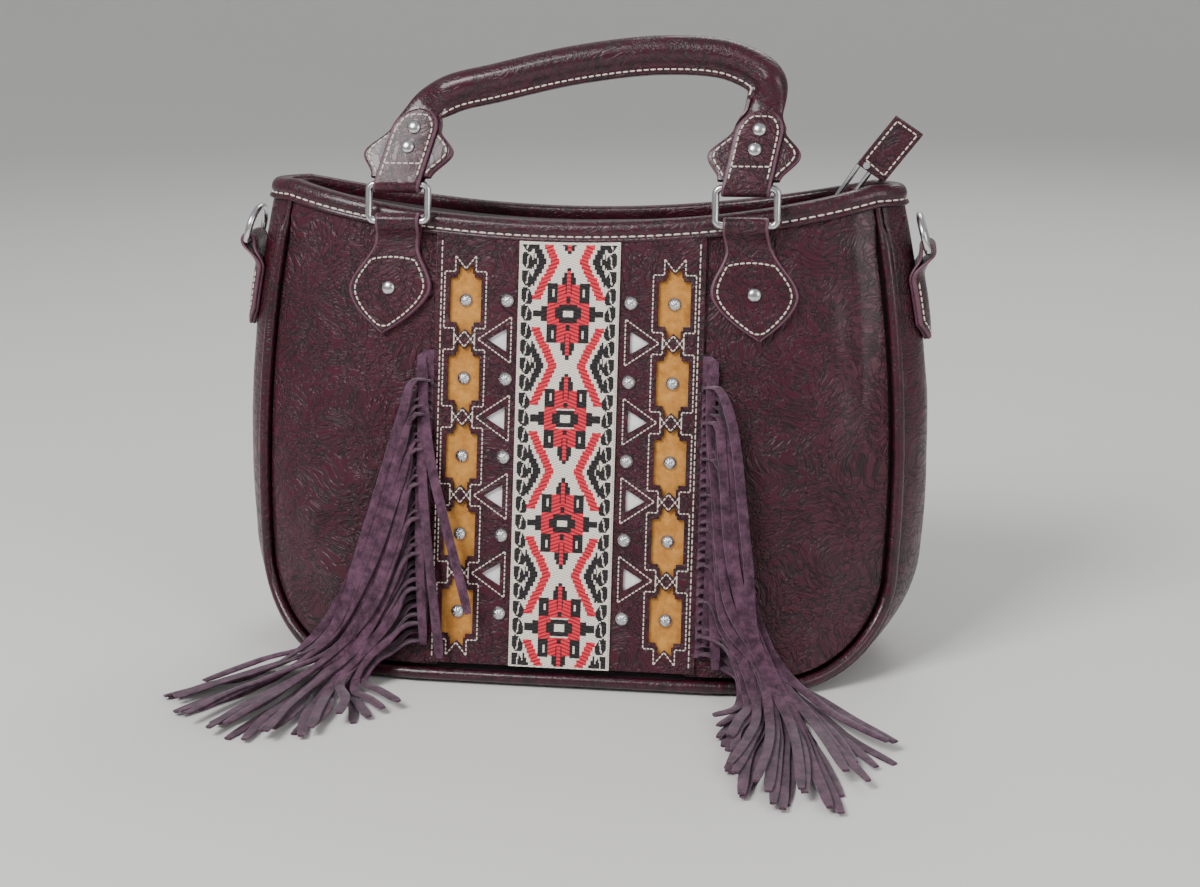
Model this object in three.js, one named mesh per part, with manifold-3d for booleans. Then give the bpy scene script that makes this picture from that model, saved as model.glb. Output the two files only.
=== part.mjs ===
// Fringed western tote bag, in millimetres, +Z up, -Y towards the viewer.
// The origin is the centre of the flat base, on the floor.
import * as THREE from 'three';
import Module from 'manifold-3d';
import { mergeVertices } from 'three/addons/utils/BufferGeometryUtils.js';

const wasm = await Module();
wasm.setup();

// Body of the bag
const BASE_HALF = 167.3;       // half width near the floor, before the corners are rounded
const MOUTH_HALF = 159;        // half width at the mouth
const BELLY = 12.7;            // how far the sides swell between the two
const BASE_DEPTH = 140;        // front to back at the floor
const MOUTH_DEPTH = 54;        // front to back at the mouth
const LEAN_BACK = 14;          // the mouth's centre lies this far behind the base's
const END_HEIGHT = 239.4;      // height of the mouth at its two ends
const MOUTH_DIP = 17;          // how far the mouth sags in the middle
const CORNER_RADIUS = 50;      // lower corners of the front and back panels
const SEAM_LIFT = 5;           // height of the bottom seam above the floor
const WRAP = 0.862;            // how far round the side a panel reaches, 1 is the middle of the side
const BASE_FLAT = 0.93;        // share of the base's depth that lies flat
const LEATHER = 2;
const LINING = 1;
const GAP = 0.3;               // clearance between pieces that touch
const LINING_PLAY = 0.9;       // the lining hangs this far inside the leather
const CHANNEL_PLAY = 0.7;      // room for the panels in the binding's channel

// Piping and the binding of the mouth
const PIPING_RADIUS = 3;
const PIPING_PROUD = 1;
const PIPING_START = 26;       // below the rim
const PIPING_TAPER = 8;        // height over which it gets thinner
const BINDING_HEIGHT = 8.8;
const BINDING_PROUD = 2.4;
const BINDING_CROWN = 1.4;     // above the rim
const BINDING_LIP = 1.9;       // thickness of its lip inside the bag
const PANEL_TOP = 4;           // the panels end this far below the rim, inside the binding

// Decorated centre panel
const CENTRE_HALF = 67;
const CENTRE_THICK = 1.7;
const UNDERLAP = 5;            // side panels run this far under the centre panel
const INLAY_THICK = 1.2;
const MOTIF_X = 52;
const MOTIF_FIRST = 36;        // height of the lowest motif along the panel
const MOTIF_PITCH = 38.6;
const MOTIF_COUNT = 5;
const MOTIF_WIDTH = 16;
const MOTIF_HEIGHT = 24;
const NECK_WIDTH = 7;
const NECK_HEIGHT = 5.5;
const INNER_STUD_X = 30.7;
const STUD_RADIUS = 3.5;
const STUD_HEIGHT = 2.6;
const TRIANGLE_X = 30.7;
const TRIANGLE_WIDTH = 9.6;
const TRIANGLE_HEIGHT = 11.6;
const INLAY_MARGIN = 1.5;
const RIBBON_WIDTH = 50;
const RIBBON_THICK = 1;
const RELIEF = 0.5;
const FLOWER_FIRST = 30.3;
const FLOWER_PITCH = 51.4;

// Tabs, rings, straps and handles
const TAB_X = 86;              // centre of each handle tab from the middle of the bag
const TAB_AXIS_DROP = 6.3;     // the ring's lower bar lies this far below the rim
const TAB_LENGTH = 54;
const TAB_HALF = 21;
const TAB_NECK = 11;
const TAB_SPLAY = 0.14;        // sideways lean of a handle tab per millimetre down
const LEAF = 1.8;              // one leaf of tab or strap leather
const WIRE = 1.8;              // radius of the ring wire
const WIRE_PLAY = 0.6;
const RING_WIDTH = 29.8;       // centre to centre of the side bars
const RING_HEIGHT = 18;
const RING_CORNER = 3;
const SIDE_TAB_Z = 207.5;
const SIDE_TAB_LENGTH = 43;
const SIDE_TAB_HALF = 10.5;
const SIDE_TAB_TIP = 4;        // half width at the lower end
const SIDE_TAB_TAPER = 8;
const SIDE_RING_WIDTH = 25;
const SIDE_RING_HEIGHT = 17;
const SIDE_RING_LEG = 6;       // height of its straight sides
const SIDE_RING_TILT = 16;     // degrees inward from upright, at rest
const RIVET_RADIUS = 3.4;
const RIVET_HEIGHT = 2;
const SHANK = 1;
const SHANK_PLAY = 0.4;
const BORE_LENGTH = 30;        // of the tools that cut the rivet holes
const TAB_RIVET_DROP = 32;
const STRAP_WIDTH = 23.4;
const STRAP_LENGTH = 38;
const STRAP_RIVETS = [18, 28];
const PAD_HALF_THICK = 2.1;
const TUBE_RADIUS = 7.8;
const KEEL = 4;                // depth of the stitched edge along the inside of the tube
const KEEL_HALF = 1.8;
const FRONT_RING_ANGLE = -10;  // degrees outward from upright, at rest
const FRONT_HANDLE_ANGLE = -24;
const BACK_RING_ANGLE = 150;
const BACK_HANDLE_ANGLE = 174;

// Zip
const ZIP_HEIGHT = 219;
const ZIP_END = 6.3;           // the zip ends this far inside the side seams
const TAPE_THICK = 1.2;
const COIL_THICK = 2.2;
const COIL_WIDTH = 3;
const COIL_LAP = 0.8;          // how far the coil grips the tape's edge
const ZIP_SLOT = 0.9;          // half the free slot between the two coils
const SLIDER_END = 13;         // the closed slider's distance from the end of the zip
const SLIDER_LENGTH = 13;
const SLIDER_WIDTH = 10;
const SLIDER_PLATE = 1.4;
const LINK_LENGTH = 27;
const LINK_ANGLE = 56.3;       // degrees above horizontal, at rest
const LINK_WIRE = 1.3;
const FOB_LENGTH = 29;
const FOB_DEPTH = 12;
const FOB_LAP = 4;             // how far the fob's leaves reach past the pin
const FOB_FOLD = 2.5;          // thickness of the folded edge
const FOB_ANGLE = 52;          // degrees between each of its edges and the horizontal
const LINK_HALF = 3.2;
const BRIDGE_RISE = 5.2;       // height of the slider's bridge

// Fringe
const FRINGE_TOP = 161;
const FRINGE_BOTTOM = 18;
const STRANDS = 14;
const STRAND_WIDTH = 5.6;
const STRAND_THICK = 1.3;
const ROOT_WIDTH = 4;
const FRINGE_KNEE = 70;        // strands rooted above this height fall in two bends
const LEFT_SWEEP = [56, 24];   // how far the highest and the lowest strand hang outward
const RIGHT_SWEEP = [38, 22];
const LEFT_LANDING = [82, 34]; // how far out those two meet the floor
const RIGHT_LANDING = [56, 26];

const FRONT = -1;
const BACK = 1;
const LEFT = -1;
const RIGHT = 1;
const DEG = Math.PI / 180;
const { lerp, smoothstep, clamp } = THREE.MathUtils;
const vec = (x, y, z) => new THREE.Vector3(x, y, z);

const finish = (color, roughness, metalness = 0) => {
  return new THREE.MeshStandardMaterial({ color, roughness, metalness });
};
const burgundy = finish(0x4d1a2b, 0.38);
const darkLeather = finish(0x3c1522, 0.42);
const plumSuede = finish(0x5b3350, 0.95);
const tanSuede = finish(0xb0783a, 0.9);
const whiteLeather = finish(0xe8e4dd, 0.6);
const ribbonCream = finish(0xe2d9c8, 0.85);
const liningCloth = finish(0x2a2024, 0.9);
const zipTape = finish(0x2b1d24, 0.85);
const nickel = finish(0xb9bcc4, 0.22, 1);
const board = finish(0x8b7a63, 0.9);

const bag = new THREE.Group();
const add = (name, geometry, material, parent = bag) => {
  const mesh = new THREE.Mesh(geometry, material);
  mesh.name = name;
  parent.add(mesh);
  return mesh;
};

// Closed meshes from grids and sections

function toGeometry(points, triangles) {
  const flat = points.flatMap((p) => [p.x, p.y, p.z]);
  const geometry = new THREE.BufferGeometry();
  geometry.setAttribute('position', new THREE.Float32BufferAttribute(flat, 3));
  let volume = 0;
  for (const [a, b, c] of triangles) {
    volume += points[a].dot(vec(0, 0, 0).crossVectors(points[b], points[c]));
  }
  const order = volume < 0 ? ([a, b, c]) => [a, c, b] : (t) => t;
  geometry.setIndex(triangles.flatMap(order));
  return geometry;
}

// A sheet of leather with two faces: place(u, v, layer) gives the points, layer 0 is outside
function slab(us, vs, place) {
  const points = [];
  const index = (i, j, layer) => (layer * vs.length + j) * us.length + i;
  for (const layer of [0, 1]) {
    for (const v of vs) {
      for (const u of us) points.push(place(u, v, layer));
    }
  }
  const triangles = [];
  const quad = (a, b, c, d) => triangles.push([a, b, c], [a, c, d]);
  const lastU = us.length - 1;
  const lastV = vs.length - 1;
  for (let j = 0; j < lastV; j += 1) {
    for (let i = 0; i < lastU; i += 1) {
      quad(index(i, j, 0), index(i + 1, j, 0), index(i + 1, j + 1, 0), index(i, j + 1, 0));
      quad(index(i, j, 1), index(i, j + 1, 1), index(i + 1, j + 1, 1), index(i + 1, j, 1));
    }
    quad(index(0, j, 0), index(0, j + 1, 0), index(0, j + 1, 1), index(0, j, 1));
    quad(index(lastU, j, 0), index(lastU, j, 1), index(lastU, j + 1, 1), index(lastU, j + 1, 0));
  }
  for (let i = 0; i < lastU; i += 1) {
    quad(index(i, 0, 0), index(i, 0, 1), index(i + 1, 0, 1), index(i + 1, 0, 0));
    quad(index(i, lastV, 0), index(i + 1, lastV, 0), index(i + 1, lastV, 1), index(i, lastV, 1));
  }
  return toGeometry(points, triangles);
}

// A skin over sections of equal length; a closed one joins its last section to its first
function loft(sections, closed = false) {
  const n = sections[0].length;
  const points = sections.flat();
  const triangles = [];
  const steps = closed ? sections.length : sections.length - 1;
  for (let k = 0; k < steps; k += 1) {
    const next = (k + 1) % sections.length;
    for (let i = 0; i < n; i += 1) {
      const j = (i + 1) % n;
      triangles.push([k * n + i, k * n + j, next * n + j]);
      triangles.push([k * n + i, next * n + j, next * n + i]);
    }
  }
  if (!closed) {
    const cap = (section, offset, flip) => {
      const centre = section.reduce((sum, p) => sum.add(p), vec(0, 0, 0)).divideScalar(n);
      points.push(centre);
      const c = points.length - 1;
      for (let i = 0; i < n; i += 1) {
        const j = (i + 1) % n;
        triangles.push(flip ? [offset + j, offset + i, c] : [offset + i, offset + j, c]);
      }
    };
    cap(sections[0], 0, true);
    cap(sections[sections.length - 1], (sections.length - 1) * n, false);
  }
  return toGeometry(points, triangles);
}

// Joins and cuts

function toSolid(geometry) {
  let bare = geometry.clone();
  for (const name of Object.keys(bare.attributes)) {
    if (name !== 'position') bare.deleteAttribute(name);
  }
  bare = mergeVertices(bare, 1e-4);
  const index = bare.index.array;
  const kept = [];
  for (let i = 0; i < index.length; i += 3) {
    const [a, b, c] = index.slice(i, i + 3);
    if (a !== b && b !== c && c !== a) kept.push(a, b, c);
  }
  const mesh = new wasm.Mesh({
    numProp: 3,
    vertProperties: new Float32Array(bare.attributes.position.array),
    triVerts: new Uint32Array(kept),
  });
  return new wasm.Manifold(mesh);
}

function fromSolid(solid) {
  const mesh = solid.getMesh();
  const geometry = new THREE.BufferGeometry();
  geometry.setAttribute('position', new THREE.Float32BufferAttribute(mesh.vertProperties, 3));
  geometry.setIndex(Array.from(mesh.triVerts));
  return geometry;
}

const unite = (geometries) => fromSolid(geometries.map(toSolid).reduce((sum, next) => sum.add(next)));

// Pockets that crossing strands close off are filled
function uniteFilled(geometries) {
  const joined = geometries.map(toSolid).reduce((sum, next) => sum.add(next));
  return fromSolid(joined.decompose().reduce((best, next) => (next.volume() > best.volume() ? next : best)));
}

const cut = (geometry, tool) => fromSolid(toSolid(geometry).subtract(toSolid(tool)));
const meet = (a, b) => fromSolid(toSolid(a).intersect(toSolid(b)));

function extrude(shape, depth, from = 0, curveSegments = 6) {
  const geometry = new THREE.ExtrudeGeometry(shape, { depth, bevelEnabled: false, curveSegments });
  return geometry.translate(0, 0, from);
}

function outline(points) {
  return new THREE.Shape(points.map(([x, y]) => new THREE.Vector2(x, y)));
}

function cylinderX(radius, length, sides = 12) {
  return new THREE.CylinderGeometry(radius, radius, length, sides).rotateZ(Math.PI / 2);
}

function cylinderY(radius, length, sides = 8) {
  return new THREE.CylinderGeometry(radius, radius, length, sides);
}

// Shape of the body: a flat centre, and panels that curve back to the sides

const rise = (z) => z / END_HEIGHT;
const halfWidth = (z) => lerp(BASE_HALF, MOUTH_HALF, rise(z)) + 4 * BELLY * rise(z) * (1 - rise(z));
const halfDepth = (z) => lerp(BASE_DEPTH, MOUTH_DEPTH, rise(z)) / 2;
const middleY = (z) => LEAN_BACK * rise(z);
const seamX = (z) => CENTRE_HALF + (halfWidth(z) - CENTRE_HALF) * WRAP;
const mouthSeamX = seamX(END_HEIGHT);
const zipHalf = mouthSeamX - ZIP_END;
const sliderX = zipHalf - SLIDER_END;
const rimHeight = (x) => END_HEIGHT - MOUTH_DIP * Math.max(0, 1 - (x / mouthSeamX) ** 2);

function faceDepth(x, z) {
  const share = clamp((Math.abs(x) - CENTRE_HALF) / (halfWidth(z) - CENTRE_HALF), 0, 0.999);
  return halfDepth(z) * Math.sqrt(1 - share * share);
}

const faceY = (face, x, z) => middleY(z) + face * faceDepth(x, z);

function facePoint(face, x, z, proud = 0) {
  const d = 0.5;
  const slopeX = (faceY(face, x + d, z) - faceY(face, x - d, z)) / (2 * d);
  const slopeZ = (faceY(face, x, z + d) - faceY(face, x, z - d)) / (2 * d);
  const normal = vec(-slopeX, 1, -slopeZ).normalize().multiplyScalar(face * proud);
  return vec(x, faceY(face, x, z), z).add(normal);
}

// The seam between a panel and the gusset: up the sides, round the corners, along the bottom
const cornerZ = SEAM_LIFT + CORNER_RADIUS;
const cornerX = seamX(cornerZ) - CORNER_RADIUS;

function panelEdgeX(z, margin) {
  if (z >= cornerZ) return seamX(z) - margin;
  const radius = CORNER_RADIUS - margin;
  return cornerX + Math.sqrt(Math.max(0, radius ** 2 - (cornerZ - z) ** 2));
}

// Outline station s: 0 is the rim at the left, 1 and 2 the ends of the left corner,
// 3 and 4 those of the right corner, and 5 the rim at the right
function seamStation(s) {
  const side = s < 2.5 ? LEFT : RIGHT;
  const t = side === LEFT ? s : 5 - s;
  if (t <= 1) {
    const z = lerp(END_HEIGHT - PANEL_TOP, cornerZ, t);
    const bulge = (halfWidth(z) - CENTRE_HALF) * (1 - WRAP);
    return { x: side * seamX(z), z, nx: side, nz: 0, bulge, flat: 0 };
  }
  if (t <= 2) {
    const angle = (t - 1) * Math.PI / 2;
    const bulge = lerp((halfWidth(cornerZ) - CENTRE_HALF) * (1 - WRAP), SEAM_LIFT, t - 1);
    const x = side * (cornerX + CORNER_RADIUS * Math.cos(angle));
    const z = cornerZ - CORNER_RADIUS * Math.sin(angle);
    return { x, z, nx: side * Math.cos(angle), nz: -Math.sin(angle), bulge, flat: t - 1 };
  }
  return { x: lerp(-cornerX, cornerX, s - 2), z: SEAM_LIFT, nx: 0, nz: -1, bulge: SEAM_LIFT, flat: 1 };
}

const SIDE_CURVE = 1 - WRAP ** 2;
function gussetCrown(c, flat) {
  const round = (Math.sqrt(1 - SIDE_CURVE * c * c) - WRAP) / (1 - WRAP);
  const level = clamp((1 - Math.abs(c)) / (1 - BASE_FLAT), 0, 1);
  return lerp(round, level, flat);
}

function gussetSkin(s, c) {
  const at = seamStation(s);
  const push = at.bulge * gussetCrown(c, at.flat);
  return vec(at.x + at.nx * push, middleY(at.z) + c * faceDepth(at.x, at.z), at.z + at.nz * push);
}

function gussetPoint(s, c, proud = 0) {
  const d = 0.002;
  const alongS = gussetSkin(Math.min(s + d, 5), c).sub(gussetSkin(Math.max(s - d, 0), c));
  const alongC = gussetSkin(s, Math.min(c + d, 1)).sub(gussetSkin(s, Math.max(c - d, -1)));
  const normal = alongC.cross(alongS).normalize();
  const at = seamStation(s);
  if (normal.dot(vec(at.nx, 0, at.nz)) < 0) normal.negate();
  return gussetSkin(s, c).addScaledVector(normal, proud);
}

// Share of the gusset's half depth that stays clear of the piping
const REACH_STEP = 0.004;
function gussetReach(s, margin) {
  const edge = gussetSkin(s, 1);
  let c = 1;
  while (gussetSkin(s, c).distanceTo(edge) < margin) c -= REACH_STEP;
  return c;
}

const steps = (count, from = 0, to = 1) => {
  return Array.from({ length: count + 1 }, (_, i) => lerp(from, to, i / count));
};

// Stations from 0 on, from runs of [number of steps, start, end]
const stationRuns = (runs) => [0, ...runs.flatMap(([n, from, to]) => steps(n, from, to).slice(1))];

const seamMargin = PIPING_RADIUS + 3 * GAP;
const topMargin = 2.2;
const pipingFull = END_HEIGHT - PIPING_START;
const narrowing = (z) => smoothstep(z, pipingFull, pipingFull + PIPING_TAPER);
const seamGap = (z) => lerp(seamMargin, topMargin, narrowing(z));

// Columns across a whole face, closer together where it curves
const halfColumns = [0.23, 0.46, 0.58, 0.69, 0.79, 0.87, 0.94, 1];
const faceColumns = [...halfColumns.map((x) => -x).reverse(), 0, ...halfColumns];

// Rows of a panel: arc steps round the corner, then up the side to the rim
const CORNER_STEPS = 5;
const SIDE_STEPS = 6;
const panelRows = [...steps(CORNER_STEPS), ...steps(SIDE_STEPS, 1, 2).slice(1)];

function panelPlace(face, u, v, proud, inner, outerSign) {
  const low = cornerZ - (CORNER_RADIUS - seamMargin) * Math.cos(Math.min(v, 1) * Math.PI / 2);
  let x = 0;
  let z = low;
  for (let pass = 0; pass < 3; pass += 1) {
    x = outerSign * lerp(inner, panelEdgeX(z, seamGap(z)), u);
    z = v <= 1 ? low : lerp(cornerZ, rimHeight(x) - PANEL_TOP, v - 1);
  }
  return facePoint(face, x, z, proud);
}

function panel(face, us, inner, outerSign) {
  return slab(us, panelRows, (u, v, layer) => {
    return panelPlace(face, u, v, layer === 0 ? 0 : -LEATHER, inner, outerSign);
  });
}

const underlapX = CENTRE_HALF - UNDERLAP;
add('front_left_panel', panel(FRONT, steps(7), underlapX, LEFT), burgundy);
add('front_right_panel', panel(FRONT, steps(7), underlapX, RIGHT), burgundy);

// The back is one panel from seam to seam
add('back_panel', slab(faceColumns, panelRows, (u, v, layer) => {
  return panelPlace(BACK, Math.abs(u), v, layer === 0 ? 0 : -LEATHER, 0, u < 0 ? LEFT : RIGHT);
}), burgundy);

// The gusset is one strip: down one side, under the base and up the other
const gussetStations = stationRuns([[5, 0, 1], [5, 1, 2], [2, 2, 3], [5, 3, 4], [5, 4, 5]]);
const GUSSET_EDGE = 0.94;
const gussetColumns = [-1, -GUSSET_EDGE, -0.7, -0.35, 0, 0.35, 0.7, GUSSET_EDGE, 1];
const gussetEdges = new Map(gussetStations.map((s) => {
  return [s, gussetReach(s, seamGap(seamStation(s).z))];
}));
add('gusset', slab(gussetColumns, gussetStations, (u, s, layer) => {
  const reach = gussetEdges.get(s);
  const flat = seamStation(s).flat;
  const inward = lerp(GUSSET_EDGE, BASE_FLAT / reach, flat);
  const c = Math.abs(u) === GUSSET_EDGE ? Math.sign(u) * inward : u;
  return gussetPoint(s, c * reach, layer === 0 ? 0 : -LEATHER);
}), burgundy);

// Piping: a cord of leather along the seam, thinner where it runs up to the binding
const THINNING = 0.16;         // share of the side run in which the cord gets thinner
const pipingStations = stationRuns([[3, 0, THINNING], [4, THINNING, 1], [7, 1, 2], [2, 2, 3],
  [7, 3, 4], [4, 4, 5 - THINNING], [3, 5 - THINNING, 5]]);
function piping(face) {
  const sides = 6;
  const centres = pipingStations.map((s) => {
    const at = seamStation(s);
    const z = Math.min(at.z, END_HEIGHT - BINDING_HEIGHT - GAP);
    const x = at.flat === 0 ? Math.sign(at.x) * seamX(z) : at.x;
    const full = 1 - narrowing(z);
    const radius = lerp(topMargin - 2 * GAP, PIPING_RADIUS, full);
    const outFace = facePoint(face, x, z, 1).sub(facePoint(face, x, z, 0));
    const outSide = vec(at.nx, 0, at.nz);
    const out = outFace.add(outSide).normalize();
    const centre = facePoint(face, x, z).addScaledVector(out, lerp(-0.2, PIPING_PROUD, full));
    return { centre, out, radius };
  });
  const sections = centres.map(({ centre, out, radius }, i) => {
    const before = centres[Math.max(0, i - 1)].centre;
    const after = centres[Math.min(centres.length - 1, i + 1)].centre;
    const along = after.clone().sub(before).normalize();
    const across = vec(0, 0, 0).crossVectors(along, out).normalize();
    const up = vec(0, 0, 0).crossVectors(across, along).normalize();
    return steps(sides).slice(1).map((t) => {
      const angle = t * Math.PI * 2;
      return centre.clone().addScaledVector(across, radius * Math.cos(angle))
        .addScaledVector(up, radius * Math.sin(angle));
    });
  });
  return loft(sections);
}
add('front_piping', piping(FRONT), darkLeather);
add('back_piping', piping(BACK), darkLeather);

// Wall of the mouth: loop position k in 0..1 at height z below or at the rim
const END_STEPS = 4;
const loop = [];
for (const x of faceColumns) loop.push({ face: FRONT, x });
for (const c of steps(END_STEPS, -1, 1).slice(1, -1)) loop.push({ side: RIGHT, c });
for (const x of faceColumns.toReversed()) loop.push({ face: BACK, x });
for (const c of steps(END_STEPS, 1, -1).slice(1, -1)) loop.push({ side: LEFT, c });

function wallSkin(at, z) {
  const x = seamX(z);
  if (at.face) return vec(at.x * x, faceY(at.face, at.x * x, z), z);
  const crown = (halfWidth(z) - CENTRE_HALF) * (1 - WRAP) * gussetCrown(at.c, 0);
  return vec(at.side * (x + crown), middleY(z) + at.c * faceDepth(x, z), z);
}

function wallNormal(index, z) {
  const n = loop.length;
  const before = wallSkin(loop[(index + n - 1) % n], z);
  const after = wallSkin(loop[(index + 1) % n], z);
  const along = after.sub(before).normalize();
  return vec(along.y, -along.x, 0);
}

const rimAt = (at) => (at.face ? rimHeight(at.x * mouthSeamX) : END_HEIGHT);

function wallPoint(index, drop, proud) {
  const at = loop[index];
  const z = rimAt(at) - drop;
  return wallSkin(at, z).addScaledVector(wallNormal(index, z), proud);
}

// Binding: an inverted channel over the rim, with a roll above and a roll below its stitching
const lipIn = -LEATHER - LINING_PLAY - LINING - CHANNEL_PLAY;
const lipBack = lipIn - BINDING_LIP;
const bindingSection = [
  [CHANNEL_PLAY, BINDING_HEIGHT], [BINDING_PROUD, BINDING_HEIGHT - 1],
  [BINDING_PROUD - 0.7, BINDING_HEIGHT - 3], [BINDING_PROUD, 2], [BINDING_PROUD - 0.9, -0.9],
  [-1.6, -BINDING_CROWN], [lipBack + 0.9, -0.9],
  [lipBack - 0.4, 2], [lipBack, BINDING_HEIGHT], [lipIn, BINDING_HEIGHT],
  [lipIn, PANEL_TOP - GAP], [CHANNEL_PLAY, PANEL_TOP - GAP]];
add('mouth_binding', loft(loop.map((_, k) => {
  return bindingSection.map(([proud, drop]) => wallPoint(k, drop, proud));
}), true), darkLeather);

// Lining: a bucket just inside the leather
const liningCorner = [0, 0.33, 0.67, 1];
const LINING_CHAMFER = 7;
const LINING_STRAIGHT = 0.78;  // share of the side run that the lining hangs straight
function liningSections(inset) {
  const sections = [];
  for (const drop of steps(3, 0, LINING_STRAIGHT * (END_HEIGHT - PANEL_TOP - cornerZ))) {
    sections.push(loop.map((_, k) => wallPoint(k, PANEL_TOP + drop, -inset)));
  }
  const base = loop.map((_, k) => {
    return wallSkin(loop[k], cornerZ).addScaledVector(wallNormal(k, cornerZ), -inset);
  });
  const widest = cornerX + CORNER_RADIUS + (halfWidth(cornerZ) - CENTRE_HALF) * (1 - WRAP) - inset;
  for (const t of liningCorner) {
    const angle = t * Math.PI / 2 * 0.94;
    const bulge = lerp((halfWidth(cornerZ) - CENTRE_HALF) * (1 - WRAP), SEAM_LIFT, t);
    const radius = CORNER_RADIUS + bulge - inset - LINING_PLAY;
    const z = Math.max(cornerZ - radius * Math.sin(angle), inset);
    const level = t === 1 ? inset : z;
    const narrow = (cornerX + radius * Math.cos(angle)) / widest;
    const chamfer = t === 1 ? LINING_CHAMFER : 0;
    const deep = (halfDepth(level) - inset - chamfer) / (halfDepth(cornerZ) - inset);
    sections.push(base.map((p) => {
      return vec(p.x * narrow, middleY(level) + (p.y - middleY(cornerZ)) * deep, level);
    }));
  }
  return sections;
}

function lining() {
  const outer = liningSections(LEATHER + LINING_PLAY);
  const inner = liningSections(LEATHER + LINING_PLAY + LINING);
  return loft([...outer.reverse(), ...inner]);
}
add('lining', lining(), liningCloth);

// Stiffener that lies on the floor of the lining
const BOARD_CORNER = 20;
const boardX = cornerX - 24 - BOARD_CORNER;
const boardY = BASE_DEPTH / 2 - 20 - BOARD_CORNER;
const boardShape = new THREE.Shape();
boardShape.absarc(boardX, boardY, BOARD_CORNER, 0, Math.PI / 2);
boardShape.absarc(-boardX, boardY, BOARD_CORNER, Math.PI / 2, Math.PI);
boardShape.absarc(-boardX, -boardY, BOARD_CORNER, Math.PI, Math.PI * 1.5);
boardShape.absarc(boardX, -boardY, BOARD_CORNER, Math.PI * 1.5, Math.PI * 2);
add('base_board', extrude(boardShape, 2, LEATHER + LINING_PLAY + LINING + GAP, 3), board);

// Decorated centre panel: a flat frame that leans with the front, x across, y up, z outward
const frontTopY = LEAN_BACK - MOUTH_DEPTH / 2;
const lean = Math.atan2(frontTopY + BASE_DEPTH / 2, END_HEIGHT);
const frontFrame = new THREE.Group();
frontFrame.position.set(0, -BASE_DEPTH / 2, 0);
frontFrame.rotation.x = Math.PI / 2 - lean;
bag.add(frontFrame);

const bandBottom = SEAM_LIFT + seamMargin + 1.6;
const bandTop = (x) => (rimHeight(x) - BINDING_HEIGHT - GAP) / Math.cos(lean);

function band(from, to, inset = 0) {
  const top = steps(6, to, from).map((x) => [x, bandTop(x) - inset]);
  return outline([[from, bandBottom], [to, bandBottom], ...top]);
}

// Stepped motif: a block with a neck above and below, each ending in a notch
function motifPoints(x0, y0) {
  const w = MOTIF_WIDTH / 2;
  const h = MOTIF_HEIGHT / 2;
  const n = NECK_WIDTH / 2;
  const top = h + NECK_HEIGHT;
  const notch = h + 2.4;
  const half = [[w, -h + 1], [w, h - 1], [n + 1, h - 1], [n + 1, h + 1], [n, h + 1], [n, top], [0, notch]];
  const upper = [...half, ...half.slice(1, -1).reverse().map(([x, y]) => [-x, y])];
  const lower = upper.slice(1).map(([x, y]) => [-x, -y]);
  return [...upper.slice(1), ...lower].map(([x, y]) => [x0 + x, y0 + y]);
}

function trianglePoints(side, y0) {
  const near = side * TRIANGLE_X;
  const far = side * (TRIANGLE_X + TRIANGLE_WIDTH);
  return [[near, y0 - TRIANGLE_HEIGHT / 2], [near, y0 + TRIANGLE_HEIGHT / 2], [far, y0]];
}

const motifHeights = Array.from({ length: MOTIF_COUNT }, (_, i) => MOTIF_FIRST + i * MOTIF_PITCH);
const triangleHeights = motifHeights.slice(1).map((y) => y - MOTIF_PITCH / 2);

// Domed stud with its base at height z
function stud(x, y, z, radius = STUD_RADIUS, height = STUD_HEIGHT) {
  const profile = [[0, -0.6], [radius, -0.6], [radius, 0.5], [radius * 0.7, height * 0.8], [0, height]];
  const dome = new THREE.LatheGeometry(profile.map(([r, h]) => new THREE.Vector2(r, h)), 8);
  return dome.rotateX(Math.PI / 2).translate(x, y, z);
}

const overlayFront = GAP + CENTRE_THICK;
const punches = [LEFT, RIGHT].flatMap((side) => [
  ...motifHeights.map((y) => motifPoints(side * MOTIF_X, y)),
  ...triangleHeights.map((y) => trianglePoints(side, y)),
].map((points) => extrude(outline(points), CENTRE_THICK + 2)));
const overlayPlate = punches.reduce(cut, extrude(band(-CENTRE_HALF, CENTRE_HALF), CENTRE_THICK, GAP));
const innerStuds = [LEFT, RIGHT].flatMap((side) => {
  return motifHeights.map((y) => stud(side * INNER_STUD_X, y, overlayFront));
});
add('centre_overlay', unite([overlayPlate, ...innerStuds]), burgundy, frontFrame);

const inlayBottom = MOTIF_FIRST - MOTIF_HEIGHT / 2 - NECK_HEIGHT - INLAY_MARGIN;
const inlayTop = motifHeights[MOTIF_COUNT - 1] + MOTIF_HEIGHT / 2 + NECK_HEIGHT + INLAY_MARGIN;

function strip(x0, x1) {
  return outline([[x0, inlayBottom], [x1, inlayBottom], [x1, inlayTop], [x0, inlayTop]]);
}

const suedeFar = MOTIF_X + MOTIF_WIDTH / 2 + INLAY_MARGIN;
const suedeNear = MOTIF_X - MOTIF_WIDTH / 2 - INLAY_MARGIN;
for (const [side, word] of [[LEFT, 'left'], [RIGHT, 'right']]) {
  const studs = motifHeights.map((y) => stud(side * MOTIF_X, y, 0));
  const suede = extrude(strip(side * suedeNear, side * suedeFar), INLAY_THICK, -INLAY_THICK);
  add(`${word}_suede_inlay`, unite([suede, ...studs]), tanSuede, frontFrame);
  const white = strip(side * (TRIANGLE_X - INLAY_MARGIN), side * (suedeNear - GAP));
  add(`${word}_white_inlay`, extrude(white, INLAY_THICK, -INLAY_THICK), whiteLeather, frontFrame);
}

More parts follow.
